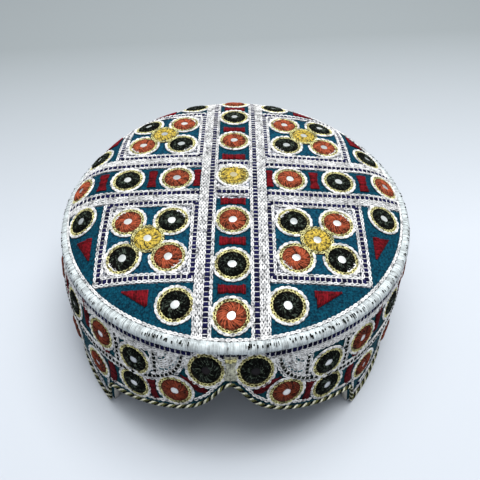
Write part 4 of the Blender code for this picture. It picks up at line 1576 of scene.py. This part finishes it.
class CrownStitching(bpy.types.Operator):
    """Chain stitches, running stitches and red patches of the crown"""

    bl_idname = "sindhi_cap.crown_stitching"
    bl_label = "Crown stitching"

    def execute(self, context):
        """The lines of chains and of dashes, the patches and a ring of chains just inside the piping."""
        parts = []
        for i, line in enumerate(self.chain_lines()):
            parts += chain(crown_face, line, seed=400 + i)
        add_piece("crown_chain_stitch", parts, [white_thread()])
        parts = []
        for i, line in enumerate(self.dash_lines()):
            parts += dashes(crown_face, line, seed=600 + i)
        add_piece("crown_running_stitch", parts, [navy_thread(), white_thread()])
        add_piece("crown_red_patches", self.patches(), [red_thread()])
        ring = 2 * np.pi * np.arange(240) / 240
        edge = np.stack([CROWN_EDGE_CHAIN * np.sin(ring), -CROWN_EDGE_CHAIN * np.cos(ring)], -1)
        chained = chain(crown_cloth, edge, True, width=0.0009, thread=0.00040, seed=911)
        add_piece("crown_edge_chain", chained, [white_thread()])
        return {"FINISHED"}

    def chain_lines(self):
        """White lines: the strips beside the arms, the centre's rows, then each square and its segment."""
        lines = []
        for offset in STRIP_CHAINS:
            for sign in (-1, 1):
                lines += crossing_lines(sign * offset, STRIP_CHAIN_START)
        lines += [straight(-CENTRE_ROW_HALF, row, CENTRE_ROW_HALF, row) for row in CENTRE_ROWS]
        for quarter, right, back in QUARTERS:
            lines += square_sides(*SQUARE_CHAINS, right, back)
            x, y = right * SEGMENT_CHAIN, back * SEGMENT_CHAIN
            lines.append(straight(right * SEGMENT_CHAIN_START, y, x, y))
            lines.append(straight(x, back * SEGMENT_CHAIN_START, x, y))
            lines += petal_corners(right, back)
        return lines

    def dash_lines(self):
        """Navy lines: along the strips, across the centre's front and back, and round each square."""
        lines = []
        for sign in (-1, 1):
            lines += crossing_lines(sign * STRIP_DASHES, STRIP_DASH_START)
            row = sign * CENTRE_DASH_ROW + CENTRE_DASH_BACK
            lines.append(straight(-CENTRE_DASH_HALF, row, CENTRE_DASH_HALF, row))
        for quarter, right, back in QUARTERS:
            lines += square_sides(*SQUARE_DASHES, right, back)
        return lines

    def patches(self):
        """Red bars across the arms and a red triangle in each edge segment's halves."""
        parts = []
        seed = 700
        for direction, angle, stations in ARMS:
            first, *others = ARM_BARS
            if direction in ("left", "right"):
                first = FIRST_SIDE_BAR
            if direction == "back":
                others = [(place + BACK_BAR_SHIFT, deep) for place, deep in others]
            for place, deep in (first, *others):
                x, y = rotated([0.0, -place], angle // 90)
                parts.append(bar(crown_face, x, y, angle, ARM_BAR_LENGTH, deep, 0.74 * deep, 0, seed=seed))
                seed += 1
        tall = np.array(SEGMENT_TRIANGLE)
        for quarter, right, back in QUARTERS:
            for swap in (False, True):
                corners = (tall[:, ::-1] if swap else tall) * (right, back)
                parts.append(filled(crown_face, corners, 0.0 if swap else 90.0, 0, seed=seed))
                seed += 1
        return parts


def divider_height(angle):
    """Height of the curved divider at an angle from the front, in metres."""
    angles = [row[0] for row in DIVIDER]
    heights = [row[1] for row in DIVIDER]
    return np.interp(angle, angles, heights) * MM


def band_point(angle, height_mm):
    """Band coordinates of an angle in degrees and a height in millimetres."""
    return np.radians(angle) * BAND_SCALE, height_mm * MM


def band_line(angles, heights):
    """A line on the band through angles in degrees and heights in metres."""
    angles = np.asarray(angles, float)
    return np.stack([np.radians(angles) * BAND_SCALE, np.broadcast_to(heights, angles.shape)], -1)


def band_roundel_centres():
    """Places of all the band's roundels, on the right, the left and round the back."""
    turns = [sign * np.radians(angle) for name, angle, height, colour in BAND_PAIRS for sign in (1, -1)]
    heights = [height for name, angle, height, colour in BAND_PAIRS for sign in (1, -1)]
    for name, front_angle, back_height, follow in BACK_ROWS:
        turn, level = back_row_places(front_angle, back_height, follow)
        turns += list(turn)
        heights += list(level)
    return np.array(turns) * BAND_SCALE, np.array(heights)


def clear_of_band_roundels(x, y, reach=ROUNDEL_REACH):
    """Which places are further than a roundel's outline from every roundel, the shorter way round."""
    centre_x, centre_y = band_roundel_centres()
    whole = 2 * np.pi * BAND_SCALE
    across = np.abs(x[:, None] - centre_x) % whole
    across = np.minimum(across, whole - across)
    return np.hypot(across, y[:, None] - centre_y).min(1) > reach


class BandStitching(bpy.types.Operator):
    """Chain stitches, running stitches, fans and red patches of the band"""

    bl_idname = "sindhi_cap.band_stitching"
    bl_label = "Band stitching"

    def execute(self, context):
        """Lines by angle and height, whose stitches are left out near a roundel, with patches and fans."""
        around = np.linspace(-180.0, 180.0, 361)
        top = band_top(np.radians(around))
        behind = np.linspace(HEM_START_ANGLE, 360.0 - HEM_START_ANGLE, 300)
        whites = [band_line(around, top - drop) for drop in TOP_CHAIN_DROPS]
        navies = [band_line(around, top - TOP_DASH_DROP), band_line(behind, HEM_DASHES)]
        darks = []
        for sign in (1, -1):
            chained, dashed = self.divider(sign)
            whites += chained
            darks += dashed
        whites += [self.rim_border(), *(band_line(behind, height) for height in HEM_CHAINS)]
        parts = []
        for i, points in enumerate(whites):
            parts += chain(band_face, points, seed=900 + i, keep=clear_of_band_roundels)
        add_piece("band_chain_stitch", parts, [white_thread()])
        parts = []
        for i, points in enumerate(navies):
            parts += dashes(band_face, points, seed=1000 + i, keep=clear_of_band_roundels, pitch=0.0022,
                            length=0.0017)
        for i, (points, reach) in enumerate(darks):
            parts += dashes(band_face, points, slots=(2, 1), seed=1050 + i, width=0.0009, lift=0.0004,
                            keep=lambda x, y, reach=reach: clear_of_band_roundels(x, y, reach))
        add_piece("band_running_stitch", parts, [navy_thread(), white_thread(), black_thread()])
        add_piece("band_red_patches", self.patches(), [shaded_red_thread()])
        add_piece("band_fans", self.fans(), [white_thread(), teal_thread()])
        return {"FINISHED"}

    def divider(self, sign):
        """On one side, the curved divider of the two rows and the uprights over it.

        Each has a line of chains on either side and dark dashes in the middle, with the dashes' clearance
        from the roundels.
        """
        angles = np.concatenate([np.linspace(12.5, 26.0, 40), np.linspace(26.5, 180.0, 300)])
        middle = band_line(sign * angles, divider_height(angles))
        line = route(middle)
        chained = [np.stack(on_route(line, line[1], shift), -1) for shift in (0.0014, -0.0014)]
        dashed = [(middle, DIVIDER_DASH_REACH)]
        for angle in UPRIGHT_ANGLES:
            top = band_top(np.radians(np.array([angle])))[0]
            heights = np.linspace(divider_height(angle) + 0.0022, top - 0.0050, 12)
            chained += [band_line([sign * (angle + shift)] * 12, heights) for shift in (-0.9, 0.9)]
            dashed.append((band_line([sign * angle] * 12, heights), ROUNDEL_REACH))
        return chained, dashed

    def rim_border(self):
        """A line along the rim and the arch, a constant distance above the edge."""
        edge = np.concatenate([np.linspace(-39.0, 39.0, 157), np.linspace(39.4, 321.0, 560)])
        turn = np.radians(edge)
        line = route(np.stack([turn * BAND_SCALE, rim_height(turn)], -1))
        return np.stack(on_route(line, line[1], RIM_CHAIN_RISE), -1)

    def patches(self):
        """Red patches between the roundels of the front's two rows."""
        parts = []
        for i, shape in enumerate(BAND_PATCHES):
            for sign in (1, -1):
                corners = np.array([band_point(sign * angle, height) for angle, height in shape])
                parts.append(filled(band_face, corners, 0.0, 0, seed=1200 + i))
        return parts

    def fans(self):
        """White scallops between the big roundel and the first upright divider, with fine teal lines.

        Each is a row of arcs round the panel's upper outer corner, kept to the panel.
        """
        parts = []
        for sign in (1, -1):
            centre = np.array(band_point(*FAN_CORNER))
            turn = np.radians(np.linspace(180.0, 275.0, 40))
            for i in range(FAN_ARCS):
                radius = FAN_FIRST_RADIUS + FAN_SPACING * i
                x = centre[0] + np.cos(turn) * radius
                y = centre[1] + np.sin(turn) * radius
                angle = np.degrees(x / BAND_SCALE)
                inside = (angle < FAN_LAST_ANGLE) & (y > divider_height(angle) + FAN_ABOVE_DIVIDER)
                inside = inside & clear_of_band_roundels(sign * x, y, FAN_REACH)
                if inside.sum() < 4:
                    continue
                points = np.stack([sign * x[inside], y[inside]], -1)
                if i % 5 == 3:
                    parts += dashes(band_face, points, slots=(1, 0), seed=1320 + i, width=0.0007)
                else:
                    parts += chain(band_face, points, seed=1300 + i)
        return parts


class PaleStage(bpy.types.Operator):
    """Pale floor, soft studio light and the camera"""

    bl_idname = "sindhi_cap.stage"
    bl_label = "Stage"

    def execute(self, context):
        """The floor, the lights, the world and a camera that is turned about its own line of sight."""
        scene = context.scene
        scene.view_settings.view_transform = "Standard"
        self.floor()
        for light in LIGHTS:
            self.light(*light)
        world = bpy.data.worlds.new("studio")
        world.use_nodes = True
        background = world.node_tree.nodes["Background"]
        background.inputs["Color"].default_value = WORLD_COLOUR
        background.inputs["Strength"].default_value = WORLD_STRENGTH
        scene.world = world
        data = bpy.data.cameras.new("camera")
        data.lens = CAMERA_LENS
        data.sensor_width = 36.0
        data.clip_start = 0.01
        camera = bpy.data.objects.new("camera", data)
        forward = Vector(CAMERA_FORWARD).normalized()
        right = forward.cross(Vector((0.0, 0.0, 1.0))).normalized()
        up = right.cross(forward)
        roll = np.radians(CAMERA_ROLL)
        across = right * np.cos(roll) + up * np.sin(roll)
        upward = up * np.cos(roll) - right * np.sin(roll)
        facing = Matrix((across, upward, -forward)).transposed().to_4x4()
        camera.matrix_world = Matrix.Translation(CAMERA_PLACE) @ facing
        scene.collection.objects.link(camera)
        scene.camera = camera
        return {"FINISHED"}

    def light(self, name, place, size, power, colour):
        """A square soft light that faces the cap."""
        data = bpy.data.lights.new(name, "AREA")
        data.size = size
        data.energy = power
        data.color = colour
        lamp = bpy.data.objects.new(name, data)
        lamp.location = place
        lamp.rotation_euler = (Vector(LIGHT_TARGET) - Vector(place)).to_track_quat("-Z", "Y").to_euler()
        bpy.context.scene.collection.objects.link(lamp)

    def floor(self):
        """A wide flat sheet under the cap, with a faint grain, darker towards the back and a little to the
        left: painted shade of the light's falloff.
        """
        mesh = bpy.data.meshes.new("floor")
        size = 3.0
        mesh.from_pydata([(-size, -size, 0), (size, -size, 0), (size, size, 0), (-size, size, 0)], [],
                         [(0, 1, 2, 3)])
        nodes = Nodes("floor_paper")
        place = nodes.new("ShaderNodeSeparateXYZ")
        nodes.link(nodes.place(), place.inputs[0])
        # Painted shade: the floor darkens towards the back and the left as the light falls off.
        slope = nodes.maths("MULTIPLY_ADD", place.outputs[0], -0.12, place.outputs[1])
        back = nodes.ramp(slope, 0.02, 0.30)
        share = nodes.maths("MULTIPLY_ADD", nodes.noise(3.0), 0.06, back)
        tone = nodes.mix(share, tuple(colours().floor), linear(149, 156, 159))
        nodes.link(tone, nodes.shader.inputs["Base Color"])
        mesh.materials.append(nodes.finish(0.8, specular=0.2))
        floor = bpy.data.objects.new("floor", mesh)
        bpy.context.scene.collection.objects.link(floor)


PIECES = (CrownCloth, BandCloth, CrownPiping, RimCord, FrontTie, CrownRoundels, BandRoundels, CrownStitching,
          BandStitching, PaleStage)


class CapPanel(bpy.types.Panel):
    """Buttons for the cap's pieces, with its sizes and colours"""

    bl_idname = "VIEW3D_PT_sindhi_cap"
    bl_label = "Sindhi cap"
    bl_space_type = "VIEW_3D"
    bl_region_type = "UI"
    bl_category = "Sindhi cap"

    def draw(self, context):
        """One button for each piece, then every setting."""
        for piece in PIECES:
            self.layout.operator(piece.bl_idname)
        for group in (context.scene.cap_thread_sizes, context.scene.cap_colours):
            for key in group.bl_rna.properties.keys():
                if key not in ("rna_type", "name"):
                    self.layout.prop(group, key)


CLASSES = (CapThreadSizes, CapColours, *PIECES, CapPanel)


def register():
    """Make the add-on's classes and settings known."""
    for kind in CLASSES:
        bpy.utils.register_class(kind)
    bpy.types.Scene.cap_thread_sizes = bpy.props.PointerProperty(type=CapThreadSizes)
    bpy.types.Scene.cap_colours = bpy.props.PointerProperty(type=CapColours)


def unregister():
    """Remove the add-on's classes and settings."""
    del bpy.types.Scene.cap_colours
    del bpy.types.Scene.cap_thread_sizes
    for kind in reversed(CLASSES):
        bpy.utils.unregister_class(kind)


def main():
    """Build every piece in order."""
    register()
    make = bpy.ops.sindhi_cap
    make.crown_cloth()
    make.band_cloth()
    make.crown_piping()
    make.rim_cord()
    make.front_tie()
    make.crown_roundels()
    make.band_roundels()
    make.crown_stitching()
    make.band_stitching()
    make.stage()


if __name__ == "__main__":
    main()
